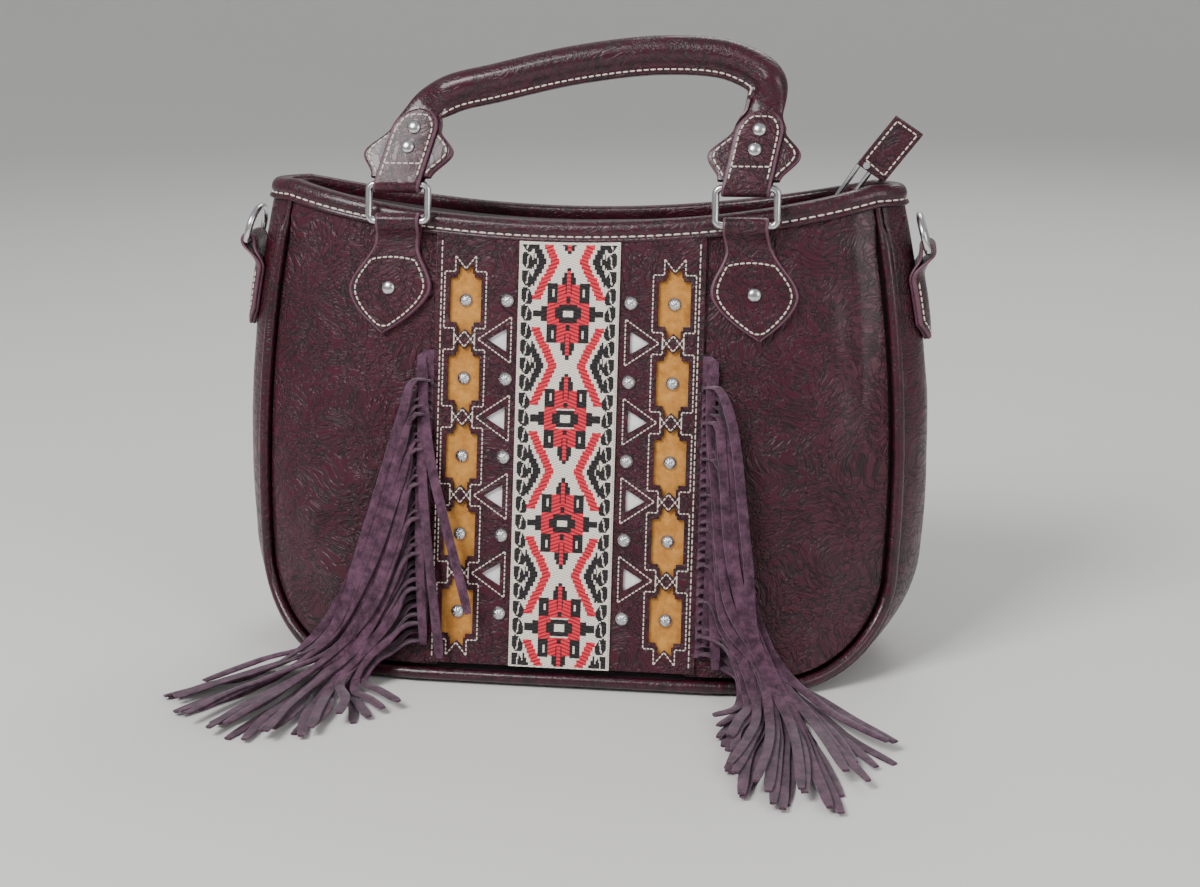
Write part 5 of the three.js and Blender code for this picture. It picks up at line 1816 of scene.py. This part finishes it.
@dataclass(frozen=True)
class TabForm:
    """A tab of two leaves folded round a ring's bar."""

    leaf: float = 1.8
    wire: float = 1.8
    play: float = 0.6
    binding_proud: float = MOUTH.proud

    @property
    def inner(self) -> float:
        """Inner radius of the fold."""
        return self.wire + self.play

    @property
    def outer(self) -> float:
        """Outer radius of the fold."""
        return self.inner + self.leaf

    @property
    def face(self) -> float:
        """Height of the tab's stitches above the wall."""
        return GAP + 2 * self.leaf + 0.3

    @property
    def proud(self) -> float:
        """Distance of the ring's bar from the wall."""
        return self.binding_proud + self.outer + 0.6

    def fold(self, length: float) -> list[tuple[float, float, float, float]]:
        """Middle line of the leather: drop, height above the wall and the direction out of the fold.

        Args:
            length: drop of the tab's lower end.

        Returns:
            The line, from the outer leaf's end over the bar to the inner leaf's.
        """
        middle = (self.inner + self.outer) / 2
        rest = GAP + self.leaf / 2
        drops = [length * t for t in steps(40)]
        outer = [(b, lerp(self.proud + middle, rest + self.leaf + 0.05, smooth(b, 0, 13))) for b in drops]
        inner = [(b, lerp(self.proud - middle, rest, smooth(b, 4, 13))) for b in drops]
        turn = steps(14, 0, math.pi)[1:-1]
        arc = [(-middle * math.sin(a), self.proud + middle * math.cos(a)) for a in turn]
        line = [*reversed(outer), *arc, *inner]
        folded = []
        for i, (b, t) in enumerate(line):
            before, after = line[max(i - 1, 0)], line[min(i + 1, len(line) - 1)]
            db, dt = after[0] - before[0], after[1] - before[1]
            size = math.hypot(db, dt)
            folded.append((b, t, dt / size, -db / size))
        return folded

    def shape(self, surface: Callable[[float, float, float], Vector], length: float,
              half_at: Callable[[float], float], axis: Vector, along: Vector, out: Vector) -> Shape:
        """The folded tab.

        Args:
            surface: gives a point from the place across, the drop and the height above the wall.
            length: drop of its lower end.
            half_at: half width at a drop.
            axis: centre of the ring's bar.
            along: the bar's direction.
            out: level direction away from the wall.

        Returns:
            The tab, with its edges as the second material.
        """
        line = self.fold(length)

        def place(u: float, v: float, layer: int) -> Vector:
            """A point of the leather at share u across and point v of its line."""
            b, t, nb, nt = line[int(v)]
            across = spread(u, half_at(max(b, 0)))
            push = self.leaf / 2 * (1 if layer == 0 else -1) - (0.3 if abs(u) == 1 and layer == 0 else 0)
            if layer == 0 and nt > 0.5:
                push += 0.35 * (1 - u * u) * smooth(b, 13, 24) * (1 - smooth(b, length - 10, length))
            b, t = b + nb * push, t + nt * push
            straight = axis + along * across + out * (t - self.proud) - Vector((0, 0, b))
            return straight.lerp(surface(across, b, t), smooth(b, 2, 14))

        return slab(LEAF_COLUMNS, range(len(line)), place, 0, 1, True)


TAB = TabForm()
RIVET_PROFILE = [(0, -3.4), (1, -3.4), (1, 0), (3.1, 0), (3.4, 0.25), (3.35, 0.6), (2.95, 1.1), (2.2, 1.6),
                 (1.2, 1.9), (0, 2.0)]


@dataclass(frozen=True)
class HandleSet:
    """Tabs, rings, straps, rivets and handle of one face."""

    face: Face
    ring_angle: float
    handle_angle: float
    shears: tuple[float, float]
    arch: tuple[tuple[float, float], ...]
    tab_x: float = 86.0
    axis_drop: float = 6.3
    tab_length: float = 54.0
    tab_half: float = 21.0
    tab_neck: float = 11.0
    splay: float = 0.14
    rivet_drop: float = 32.0
    shield_seam: float = 3.4
    shield_seam_top: float = 18.5
    ring_width: float = 29.8
    ring_height: float = 18.0
    ring_corner: float = 3.0
    strap_width: float = 23.4
    strap_length: float = 38.0
    strap_rivets: tuple[float, ...] = (18.0, 28.0)
    strap_seam: float = 2.4
    pad_thick: float = 2.1
    tube: float = 7.8
    keel: float = 4.0
    keel_half: float = 1.8

    @property
    def word(self) -> str:
        """The face's name."""
        return self.face.name.lower()

    @property
    def axis(self) -> Vector:
        """The lower bars' centre in the middle plane."""
        p = FORM.face_point(self.face, self.tab_x, FORM.rim(self.tab_x) - self.axis_drop, TAB.proud)
        return Vector((0, p.y, p.z))

    def ring_world(self, p: Vector) -> Vector:
        """A point from the rings' frame."""
        turn = Matrix.Rotation(-self.face.value * self.ring_angle * DEG, 3, "X")
        return turn @ p + self.axis

    def upper_world(self, p: Vector) -> Vector:
        """A point from the handle's frame."""
        reach = self.face.value * math.sin(self.ring_angle * DEG) * self.ring_height
        top = self.axis + Vector((0, reach, math.cos(self.ring_angle * DEG) * self.ring_height))
        return Matrix.Rotation(-self.face.value * self.handle_angle * DEG, 3, "X") @ p + top

    def around(self, p: Vector) -> Vector:
        """Half a turn about Z on the back, nothing on the front."""
        return p if self.face is Face.FRONT else Vector((-p.x, -p.y, p.z))

    def shield_half(self, b: float) -> float:
        """Half width of a tab.

        Args:
            b: drop below the ring's bar.

        Returns:
            The half width there, which is largest at the rivet.
        """
        if b < self.rivet_drop:
            return lerp(self.tab_neck, self.tab_half, smooth(b, 9, self.rivet_drop))
        t = (b - self.rivet_drop) / (self.tab_length - self.rivet_drop)
        return max(0.6, self.tab_half * (1 - t**1.7))

    def tabs(self) -> None:
        """Makes the shield tabs with their stitches and rivets."""
        z0 = FORM.rim(self.tab_x) - self.axis_drop
        sewing = Sewing(f"{self.word}_tab_stitches", "bag")
        for side in Side:
            k = side.value

            def surface(a: float, b: float, t: float) -> Vector:
                """A point above the wall, from the place across, the drop and the height."""
                return FORM.face_point(self.face, k * (self.tab_x + b * self.splay) + a, z0 - b, t)

            axis = self.axis + Vector((k * self.tab_x, 0, 0))
            out = Vector((0, self.face.value, 0))
            shape = TAB.shape(surface, self.tab_length, self.shield_half, axis, Vector((1, 0, 0)), out)
            name = f"{self.word}_{side.word}_tab"
            piece(f"folded_{name}", shape, [BURGUNDY, EDGE], "bag", [name], 0.45)
            face = TAB.face
            outward = (surface(0, self.rivet_drop, 1) - surface(0, self.rivet_drop, 0)).normalized()
            rivet = standing(lathe(RIVET_PROFILE), surface(0, self.rivet_drop, face + 0.2), outward)
            piece(f"domed_{name}_rivet", rivet, [NICKEL], "bag", [f"{name}_rivet"])
            inset, top = self.shield_seam, self.shield_seam_top
            edge = [(max(self.shield_half(b) - inset, 0.3), b) for b in steps(36, top, self.tab_length - 3.6)]
            sides = [surface(a, b, face) for a, b in there_and_back(edge)]
            half = self.shield_half(top) - inset
            cap = [surface(half * a, top - 1.5 * (1 - a * a), face + 0.1) for a in steps(8, 1, -1)]
            sewing.row(sides + cap, outward, 3.0)
        sewing.close()

    def rings(self) -> None:
        """Makes the two rings."""
        path = []
        w, h, c = self.ring_width / 2, self.ring_height, self.ring_corner
        for x, z, turn in ((w - c, h - c, 0), (-w + c, h - c, 1), (-w + c, c, 2), (w - c, c, 3)):
            for t in steps(6):
                angle = (turn + t) * math.pi / 2
                path.append((x + c * math.cos(angle), z + c * math.sin(angle)))
        for side in Side:
            shift = Vector((side.value * self.tab_x, 0, 0))
            shape = wire(path, TAB.wire).moved(lambda p: self.ring_world(p + shift))
            name = f"{self.word}_{side.word}_ring"
            piece(f"polished_{name}", shape, [NICKEL], f"{self.word}_rings", [name])

    def strap_path(self) -> list[tuple[float, float, float, float]]:
        """Middle line of a strap's leather: y, z and the direction out of the fold."""
        radius = (TAB.inner + TAB.outer) / 2
        line = [(radius, z, 1.0, 0.0) for z in steps(26, self.strap_length - 0.2, 0)]
        line += [(radius * math.cos(a), -radius * math.sin(a), math.cos(a), -math.sin(a))
                 for a in steps(16, 0, math.pi)[1:]]
        return line + [(-radius, z, -1.0, 0.0) for z in steps(26, 0, self.strap_length - 0.2)[1:]]

    def straps(self) -> None:
        """Makes the straps that hold the rings to the handle."""
        body = f"{self.word}_handle"
        half = self.strap_width / 2
        line = self.strap_path()
        sewing = Sewing(f"{self.word}_strap_stitches", body)

        def half_at(z: float) -> float:
            """Half width of a strap, whose end is round."""
            over = z - (self.strap_length - half)
            return half if over <= 0 else math.sqrt(max(half * half - over * over, 0.3))

        for side in Side:
            index = 0 if (side is Side.LEFT) == (self.face is Face.FRONT) else 1
            amount = self.shears[index]
            shift = Vector((side.value * self.tab_x, 0, 0))

            def world(p: Vector) -> Vector:
                """A point of this strap, which leans towards the handle."""
                sheared = Vector((p.x + amount * p.z, p.y, p.z))
                return self.upper_world(self.around(sheared) + shift)

            def place(u: float, v: float, layer: int) -> Vector:
                """A point of the leather at share u across and point v of its line."""
                y, z, ny, nz = line[int(v)]
                push = TAB.leaf / 2 * (1 if layer == 0 else -1)
                if layer == 0:
                    push += 0.3 * (1 - u * u) * smooth(z, 2, 12) - (0.3 if abs(u) == 1 else 0)
                return world(Vector((spread(u, half_at(z)), y + ny * push, z + nz * push)))

            name = f"{self.word}_{side.word}_strap"
            shape = slab(LEAF_COLUMNS, range(len(line)), place, 0, 1, True)
            piece(f"folded_{name}", shape, [BURGUNDY, EDGE], body, [name], 0.45)
            for front in (-1, 1):
                lift = front * (TAB.outer + 0.15)
                heights = steps(20, 3, self.strap_length - 3.4)
                loop = there_and_back([(half_at(z + 1.2) - self.strap_seam, z) for z in heights])
                across = [(a, 9.5) for a in (self.strap_seam - half, half - self.strap_seam)]
                normal = (world(Vector((0, front, 10))) - world(Vector((0, 0, 10)))).normalized()
                for seam in (loop, across):
                    sewing.row([world(Vector((a, lift, z))) for a, z in seam], normal, 3.2)
            for i, height in enumerate(self.strap_rivets):
                dome = lathe([(0, -8.2), (1, -8.2), *RIVET_PROFILE[2:]])

                def place_rivet(p: Vector) -> Vector:
                    """A point of this rivet."""
                    turned = Vector((p.x + amount * height, -p.z - TAB.outer - 0.3, p.y + height))
                    return self.upper_world(self.around(turned) + shift)

                rivet_name = f"{name}_rivet_{i + 1}"
                piece(f"domed_{rivet_name}", dome.moved(place_rivet), [NICKEL], body, [rivet_name])
        sewing.close()

    def stations(self) -> list[tuple[float, float, float, float, float]]:
        """Stations of the handle: x, z, half width, half thickness and keel."""
        pads = ((3.6, 15.0), (16.0, 22.5), (29.0, 12.5))
        left = [(-self.tab_x + self.shears[0] * z, z, w, self.pad_thick, 0.0) for z, w in pads]
        right = [(self.tab_x + self.shears[1] * z, z, w, self.pad_thick, 0.0) for z, w in reversed(pads)]
        middle = [(x, z, self.tube, self.tube, self.keel) for x, z in self.arch[1:-1]]
        ends = (self.arch[0], self.arch[-1])
        throats = [(x, z, self.tube + 0.6, self.pad_thick, self.keel / 2) for x, z in ends]
        return [*left, throats[0], *middle, throats[1], *right]

    def handle(self) -> None:
        """Makes the rolled handle with its pads and the stitches along its keel."""
        stations = self.stations()
        line = Spline([Vector((s[0], 0, s[1])) for s in stations])
        body = f"{self.word}_handle"
        sections, rings = [], []
        seams: dict[tuple[int, int], list[Vector]] = {}

        def size(t: float, part: int) -> float:
            """A measure of the handle, eased between its stations."""
            place = t * (len(stations) - 1)
            i = min(int(place), len(stations) - 2)
            return lerp(stations[i][part], stations[i + 1][part], smooth(place - i, 0, 1))

        for t in steps(110):
            p, along = line.at(t), line.tangent(t)
            flat = 1 - smooth(p.z, 24, 46)
            perpendicular = Vector((-along.z, 0, along.x))
            level = Vector((-math.copysign(1, along.z or 1), 0, 0))
            across = perpendicular.lerp(level, flat).normalized()
            w, e, keel = (size(t, part) for part in (2, 3, 4))
            square = lerp(1, 0.25, flat)
            ring = []
            for angle in steps(22, 18, 342):
                c, s = math.cos(angle * DEG), math.sin(angle * DEG)
                a = -w * math.copysign(abs(c) ** square, c)
                b = e * math.copysign(abs(s) ** square, s)
                ring.append((a, b))
            lip = min(self.keel_half, e)
            keel_side = [(-(w + keel * 0.1), lip), (-(w + keel * 0.85), lip * 0.92), (-(w + keel), lip * 0.6)]
            ring += [(x, -y) for x, y in keel_side] + keel_side[::-1]
            rings.append((ring, w, flat))
            sections.append([p + across * a + Vector((0, b, 0)) for a, b in ring])
            for face in (-1, 1):
                if keel > 2.2:
                    seam = p - across * (w + keel * 0.5) + Vector((0, face * (lip + 0.06), 0))
                    seams.setdefault((0, face), []).append(seam)
                if flat > 0.9 and 5 < p.z < 25:
                    for a in (-1, 1):
                        seam = p + across * a * (w - 2.9) + Vector((0, face * (e + 0.1), 0))
                        seams.setdefault((a * (1 if t < 0.5 else 2), face), []).append(seam)

        def world(q: Vector) -> Vector:
            """A point of the handle."""
            return self.upper_world(self.around(q))

        shape = loft(sections).moved(world)
        for row, (ring, w, flat) in enumerate(rings[:-1]):
            for c in range(len(ring)):
                if flat > 0.6 and min(abs(ring[c][0]), abs(ring[(c + 1) % len(ring)][0])) > 0.93 * w:
                    shape.slots[row * len(ring) + c] = 1
        piece(f"rolled_{body}", shape, [DARK, EDGE], body, [body], 0, 50)
        sewing = Sewing(f"{self.word}_handle_stitches", body, 0.45, 0.4)
        origin = world(Vector((0, 0, 0)))
        for (_, face), seam in seams.items():
            sewing.row([world(p) for p in seam], world(Vector((0, face, 0))) - origin, 3.4)
        sewing.close()

    def build(self) -> None:
        """Makes all its pieces."""
        self.tabs()
        self.rings()
        self.straps()
        self.handle()


@dataclass(frozen=True)
class SideTab:
    """Tab and ring in the middle of one side."""

    side: Side
    height: float = 207.5
    length: float = 43.0
    half: float = 10.5
    tip: float = 4.0
    taper: float = 8.0
    ring_width: float = 25.0
    ring_height: float = 17.0
    leg: float = 6.0
    tilt: float = 16.0

    def station(self, z: float) -> float:
        """Seam station at a height."""
        span = FORM.end_height - FORM.panel_top
        t = (span - z) / (span - FORM.corner_z)
        return t if self.side is Side.LEFT else 5 - t

    def surface(self, a: float, b: float, t: float) -> Vector:
        """A point above the gusset."""
        z = self.height - b
        return FORM.gusset_point(self.station(z), a / FORM.face_depth(FORM.seam_x(z), z), t)

    def build(self) -> None:
        """Makes the tab, its stitches and the ring."""
        k = self.side.value
        axis = FORM.gusset_point(self.station(self.height), 0, TAB.proud)

        def half_at(b: float) -> float:
            """Half width of the tab at a drop."""
            return lerp(self.half, self.tip, clamp((b - self.length) / self.taper + 1))

        shape = TAB.shape(self.surface, self.length, half_at, axis, Vector((0, 1, 0)), Vector((k, 0, 0)))
        name = f"{self.side.word}_side_tab"
        piece(f"folded_{name}", shape, [BURGUNDY, EDGE], "bag", [name], 0.45)
        sewing = Sewing(f"{name}_stitches", "bag")
        edge = [(half_at(b + 1.5) - 2.3, b) for b in steps(24, 15, self.length - 2.6)]
        normal = (self.surface(0, 25, 1) - self.surface(0, 25, 0)).normalized()
        loop = [self.surface(a, b, TAB.face) for a, b in there_and_back(edge)]
        sewing.row([*loop, loop[0]], normal, 3.2)
        sewing.close()
        w = self.ring_width / 2
        path = [(-w + 2, 0.0), (0.0, 0.0), (w - 2, 0.0), (w - 0.6, 0.6), (w, 2.5)]
        for t in steps(28):
            angle = t * math.pi
            path.append((w * math.cos(angle), self.leg + (self.ring_height - self.leg) * math.sin(angle)))
        path += [(-w, 2.5), (-w + 0.6, 0.6)]
        turn = Matrix.Rotation(-k * self.tilt * DEG, 3, "Y") @ Matrix.Rotation(math.pi / 2, 3, "Z")
        shape = wire(path, TAB.wire).moved(lambda p: turn @ p + axis)
        ring = f"{self.side.word}_side_ring"
        piece(f"polished_{ring}", shape, [NICKEL], ring, [ring])


# ---- zip


@dataclass(frozen=True)
class Zip:
    """Tapes, coils, slider, link and leather fob."""

    height: float = 219.0
    half: float = 140.0
    tape: float = 1.2
    coil: float = 2.2
    coil_width: float = 3.0
    coil_pitch: float = 1.9
    coil_turn: float = 1.596
    tape_drop: float = 5.5
    slot: float = 0.9
    slider_x: float = 127.0
    slider_length: float = 13.0
    slider_half: float = 5.0
    slider_plate: float = 1.4
    bridge: float = 5.2
    link_length: float = 27.0
    link_angle: float = 56.3
    link_wire: float = 1.3
    link_half: float = 3.2
    fob_length: float = 29.0
    fob_depth: float = 12.0
    fob_lap: float = 4.0
    fob_angle: float = 52.0

    @property
    def y(self) -> float:
        """Y of the slot."""
        return FORM.middle_y(self.height)

    @property
    def plate_z(self) -> float:
        """Height of the slider's plates above the coils' middle."""
        return self.coil / 2 + GAP + self.slider_plate / 2

    @property
    def bridge_z(self) -> float:
        """Height of the slider's bar above the coils' middle."""
        return self.plate_z + self.slider_plate / 2 + self.bridge

    def stringer(self, face: Face) -> None:
        """Makes one tape with its coil."""
        lip_back = MOUTH.lip_in - MOUTH.lip

        def place(x: float, v: float, layer: int) -> Vector:
            """A point of the tape at x, from the binding to the slot."""
            z = FORM.rim(x) - self.tape_drop
            y = FORM.face_y(face, x, z) - face.value * (-lip_back + GAP + 0.8) * 1.04
            inner = Vector((x, self.y + face.value * (self.slot + self.coil_width - 0.8), self.height))
            p = Vector((x, y, z)).lerp(inner, v)
            sag = 0.5 * math.sin(v * math.pi) * math.sin(x * 0.09)
            return p + Vector((0, 0, (self.tape / 2 if layer == 0 else -self.tape / 2) + sag))

        shape = slab(steps(56, -self.half, self.half), steps(8), place)
        middle = self.y + face.value * (self.slot + self.coil_width / 2)
        x = -self.half + 1.5 + (self.coil_pitch / 2 if face is Face.BACK else 0)
        while x < self.half - 1.5:
            turn = [(middle + c * self.coil_width / 2, self.height + s * self.coil / 2)
                    for c, s in circle(10)]
            ends = (x - self.coil_turn / 2, x + self.coil_turn / 2)
            shape.add(loft([[Vector((end, y, z)) for y, z in turn] for end in ends]), 1)
            x += self.coil_pitch
        name = f"zip_stringer_{face.name.lower()}"
        piece(f"taped_{name}", shape, [TAPE, COIL], "bag", [name])

    def slider(self) -> None:
        """Makes the slider with its bridge."""
        h, n = self.slider_length / 2, self.slider_half
        outline = [(-h, -n + 1.5), (2, -n), (h, -n + 2), (h, n - 2), (2, n), (-h, n - 1.5)]
        t = self.slider_plate / 2
        shape = plate([outline], self.plate_z - t, self.plate_z + t, 0.3)
        shape.add(plate([outline], -self.plate_z - t, -self.plate_z + t, 0.3))
        shape.add(plate([[(1, -0.6), (5, -0.6), (5, 0.6), (1, 0.6)]], -self.plate_z, self.plate_z, 0.1))
        for y in (-3.2, 3.2):
            ear = [(-1.6, y - 0.7), (1.6, y - 0.7), (1.6, y + 0.7), (-1.6, y + 0.7)]
            shape.add(plate([ear], self.plate_z, self.bridge_z + 1.4, 0.25))
        bar = lathe([(0, -3.5), (1.2, -3.5), (1.2, 3.5), (0, 3.5)], 18)
        shape.add(bar.moved(lambda p: Vector((p.x, p.z, p.y + self.bridge_z))))
        origin = Vector((self.slider_x, self.y, self.height))
        shape = shape.moved(lambda p: p + origin)
        piece("cast_zip_slider", shape, [NICKEL], "zip_slider", ["zip_slider"])

    def link(self) -> None:
        """Makes the long wire link."""
        angles = steps(14, 0, math.pi)
        bend = [(self.link_half * math.cos(a), self.link_half * math.sin(a)) for a in angles]
        path = [(x, self.link_length + v) for x, v in bend] + [(-x, -v) for x, v in bend]
        turn = Matrix.Rotation((90 - self.link_angle) * DEG, 3, "Y")
        origin = Vector((self.slider_x, self.y, self.height + self.bridge_z))
        shape = wire(path, self.link_wire, 12).moved(lambda p: turn @ p + origin)
        piece("bent_zip_link", shape, [NICKEL], "zip_pull", ["zip_pull_link"])

    def fob(self) -> None:
        """Makes the folded leather fob with its pin and stitches."""
        reach = self.link_wire + GAP
        c, s = math.cos(self.fob_angle * DEG), math.sin(self.fob_angle * DEG)
        origin = Vector((
            self.slider_x + math.cos(self.link_angle * DEG) * self.link_length, self.y,
            self.height + self.bridge_z + math.sin(self.link_angle * DEG) * self.link_length))

        def corner(a: float, b: float) -> tuple[float, float]:
            """A corner of the fob, a along the link and b across it."""
            return c * (a + b), s * (a - b)

        def world(p: Vector) -> Vector:
            """A point of the fob."""
            return Vector((p.x, -p.z, p.y)) + origin

        length, depth, lap = self.fob_length, self.fob_depth, self.fob_lap
        leaf = [corner(-3, -lap), corner(length - 3, -lap), corner(length + 2, depth), corner(2, depth)]
        fold = depth - 2.5
        back = [corner(-1, fold), corner(length, fold), corner(length + 2, depth), corner(2, depth)]
        shape = plate([leaf], reach, reach + TAB.leaf, 0.5)
        shape.add(plate([leaf], -reach - TAB.leaf, -reach, 0.5))
        shape.add(plate([back], -reach - 0.2, reach + 0.2, 0.2))
        piece("folded_zip_fob", shape.moved(world), [BURGUNDY], "zip_fob", ["zip_fob"])
        cap = lathe([(0, -reach - 2.2), (1.6, -reach - 2.2), (2.0, -reach - 1.7), (1.2, -reach - 1.6),
                     (1.2, reach + 1.6), (2.0, reach + 1.7), (1.6, reach + 2.2), (0, reach + 2.2)], 18)
        piece("fob_pin", cap.moved(world), [NICKEL], "zip_fob")
        sewing = Sewing("fob_stitches", "zip_fob", 0.4, 0.36)
        inset = [corner(1.5, 1.8 - lap), corner(length - 3.8, 1.8 - lap), corner(length - 0.2, depth - 2),
                 corner(4, depth - 2)]
        for sign in (-1, 1):
            z = sign * (reach + TAB.leaf)
            path = [world(Vector((x, y, z))) for x, y in [*inset, inset[0]]]
            for a, b in zip(path, path[1:]):
                sewing.row([a, b], Vector((0, -sign, 0)), 3.0)
        sewing.close()

    def build(self) -> None:
        """Makes all its pieces."""
        for face in Face:
            self.stringer(face)
        self.slider()
        self.link()
        self.fob()


# ---- studio


@dataclass(frozen=True)
class Studio:
    """Pale floor, soft lights and the camera."""

    camera_at: tuple[float, float, float] = (159.5, -932.6, 353.2)
    azimuth: float = 9.08
    pitch: float = 14.6
    roll: float = -0.44
    lens: float = 57.0
    floor_flat: float = 2.8
    floor_bend: float = 2.4
    floor_sides: int = 96
    sky: tuple[float, float, float, float] = (0.93, 0.94, 0.96, 1)
    sky_strength: float = 0.45
    lamps: tuple[tuple[str, tuple[float, float, float], float, float], ...] = (
        ("key", (-0.8, -1.2, 1.5), 0.8, 34),
        ("fill", (1.5, -1.1, 0.9), 1.0, 10),
        ("back", (0.3, 1.4, 1.6), 1.0, 10),
    )

    def camera(self) -> None:
        """Stands the camera where the photograph was taken from."""
        az, p, r = (a * DEG for a in (self.azimuth, self.pitch, self.roll))
        forward = Vector((-math.sin(az) * math.cos(p), math.cos(az) * math.cos(p), -math.sin(p)))
        right = Vector((math.cos(az), math.sin(az), 0))
        up = right.cross(forward)
        x_axis = right * math.cos(r) + up * math.sin(r)
        y_axis = up * math.cos(r) - right * math.sin(r)
        data = bpy.data.cameras.new("camera")
        data.lens = self.lens
        data.sensor_width = 36
        data.sensor_fit = "HORIZONTAL"
        data.clip_start = 0.01
        camera = bpy.data.objects.new("camera", data)
        turn = Matrix((x_axis, y_axis, -forward)).transposed().to_4x4()
        camera.matrix_world = Matrix.Translation(Vector(self.camera_at) * MM) @ turn
        bpy.context.scene.collection.objects.link(camera)
        bpy.context.scene.camera = camera

    def floor(self) -> None:
        """Lays the floor, a wide dish whose edge sweeps up all round."""
        flat, bend = self.floor_flat, self.floor_bend
        rise = [(flat + bend * math.sin(t), bend - bend * math.cos(t)) for t in steps(24, 0, math.pi / 2)]
        shape = Shape()
        rows = shape.rings([Vector((r * c, r * s, z)) for c, s in circle(self.floor_sides)] for r, z in rise)
        grid(shape, rows, flip=True)
        shape.face(rows[0][:-1])
        mesh = bpy.data.meshes.new("floor")
        mesh.from_pydata(shape.points, [], shape.faces)
        mesh.shade_smooth()
        mesh.materials.append(FLOOR.material())
        floor = bpy.data.objects.new("floor", mesh)
        bpy.context.scene.collection.objects.link(floor)

    def light(self, name: str, place: Sequence[float], size: float, power: float) -> None:
        """Hangs a square soft light that faces the bag.

        Args:
            name: the light's name.
            place: where it hangs, in metres.
            size: its width, in metres.
            power: its power, in watts.
        """
        data = bpy.data.lights.new(name, "AREA")
        data.size = size
        data.energy = power
        lamp = bpy.data.objects.new(name, data)
        lamp.location = place
        lamp.rotation_euler = (Vector((0, 0, 0.12)) - Vector(place)).to_track_quat("-Z", "Y").to_euler()
        bpy.context.scene.collection.objects.link(lamp)

    def build(self) -> None:
        """Sets up the studio."""
        self.camera()
        self.floor()
        for lamp in self.lamps:
            self.light(*lamp)
        world = bpy.data.worlds.new("studio")
        world.use_nodes = True
        background = world.node_tree.nodes["Background"]
        background.inputs["Color"].default_value = self.sky
        background.inputs["Strength"].default_value = self.sky_strength
        bpy.context.scene.world = world


def dress_frame() -> None:
    """Gives the base board, the one CAD node that still shows, its finish."""
    board = frame["nodes"]["base_board"]
    board.data.materials.clear()
    board.data.materials.append(BOARD.material())


FRINGES = (
    Fringe(Side.LEFT, ((-172, -78), (-193, -112), (-184, -133), (-156, -150), (-130, -160), (-104, -150),
                       (-72, -114)), 56, 24, 82, 34, ((67, 19), (60, 13), (46, 35))),
    Fringe(Side.RIGHT, ((172, -101), (164, -145), (148, -200), (122, -207), (100, -190), (93, -150),
                        (84, -112)), 38, 22, 56, 26, ((72, 26), (79, 14), (88, 20))),
)
HANDLES = (
    HandleSet(Face.FRONT, -10, -24, (0.25, 0.18), ((-75.5, 39), (-64, 48), (-40, 54.5), (0, 64), (45, 69),
                                                    (78, 65.5), (95, 54), (93.6, 39))),
    HandleSet(Face.BACK, 150, 174, (0.0, 0.0), ((-86, 39), (-84, 50), (-66, 61), (-34, 68), (0, 70), (34, 68),
                                                 (66, 61), (84, 50), (86, 39))),
)


def main() -> None:
    """Builds the bag piece by piece, then the studio."""
    logging.basicConfig(level=logging.INFO, format="%(message)s")
    side_tabs = [SideTab(side) for side in Side]
    for part in (Shell(), MOUTH, CentrePanel(), *FRINGES, *HANDLES, *side_tabs, Zip(), Studio()):
        part.build()
    dress_frame()


if __name__ == "__main__":
    main()
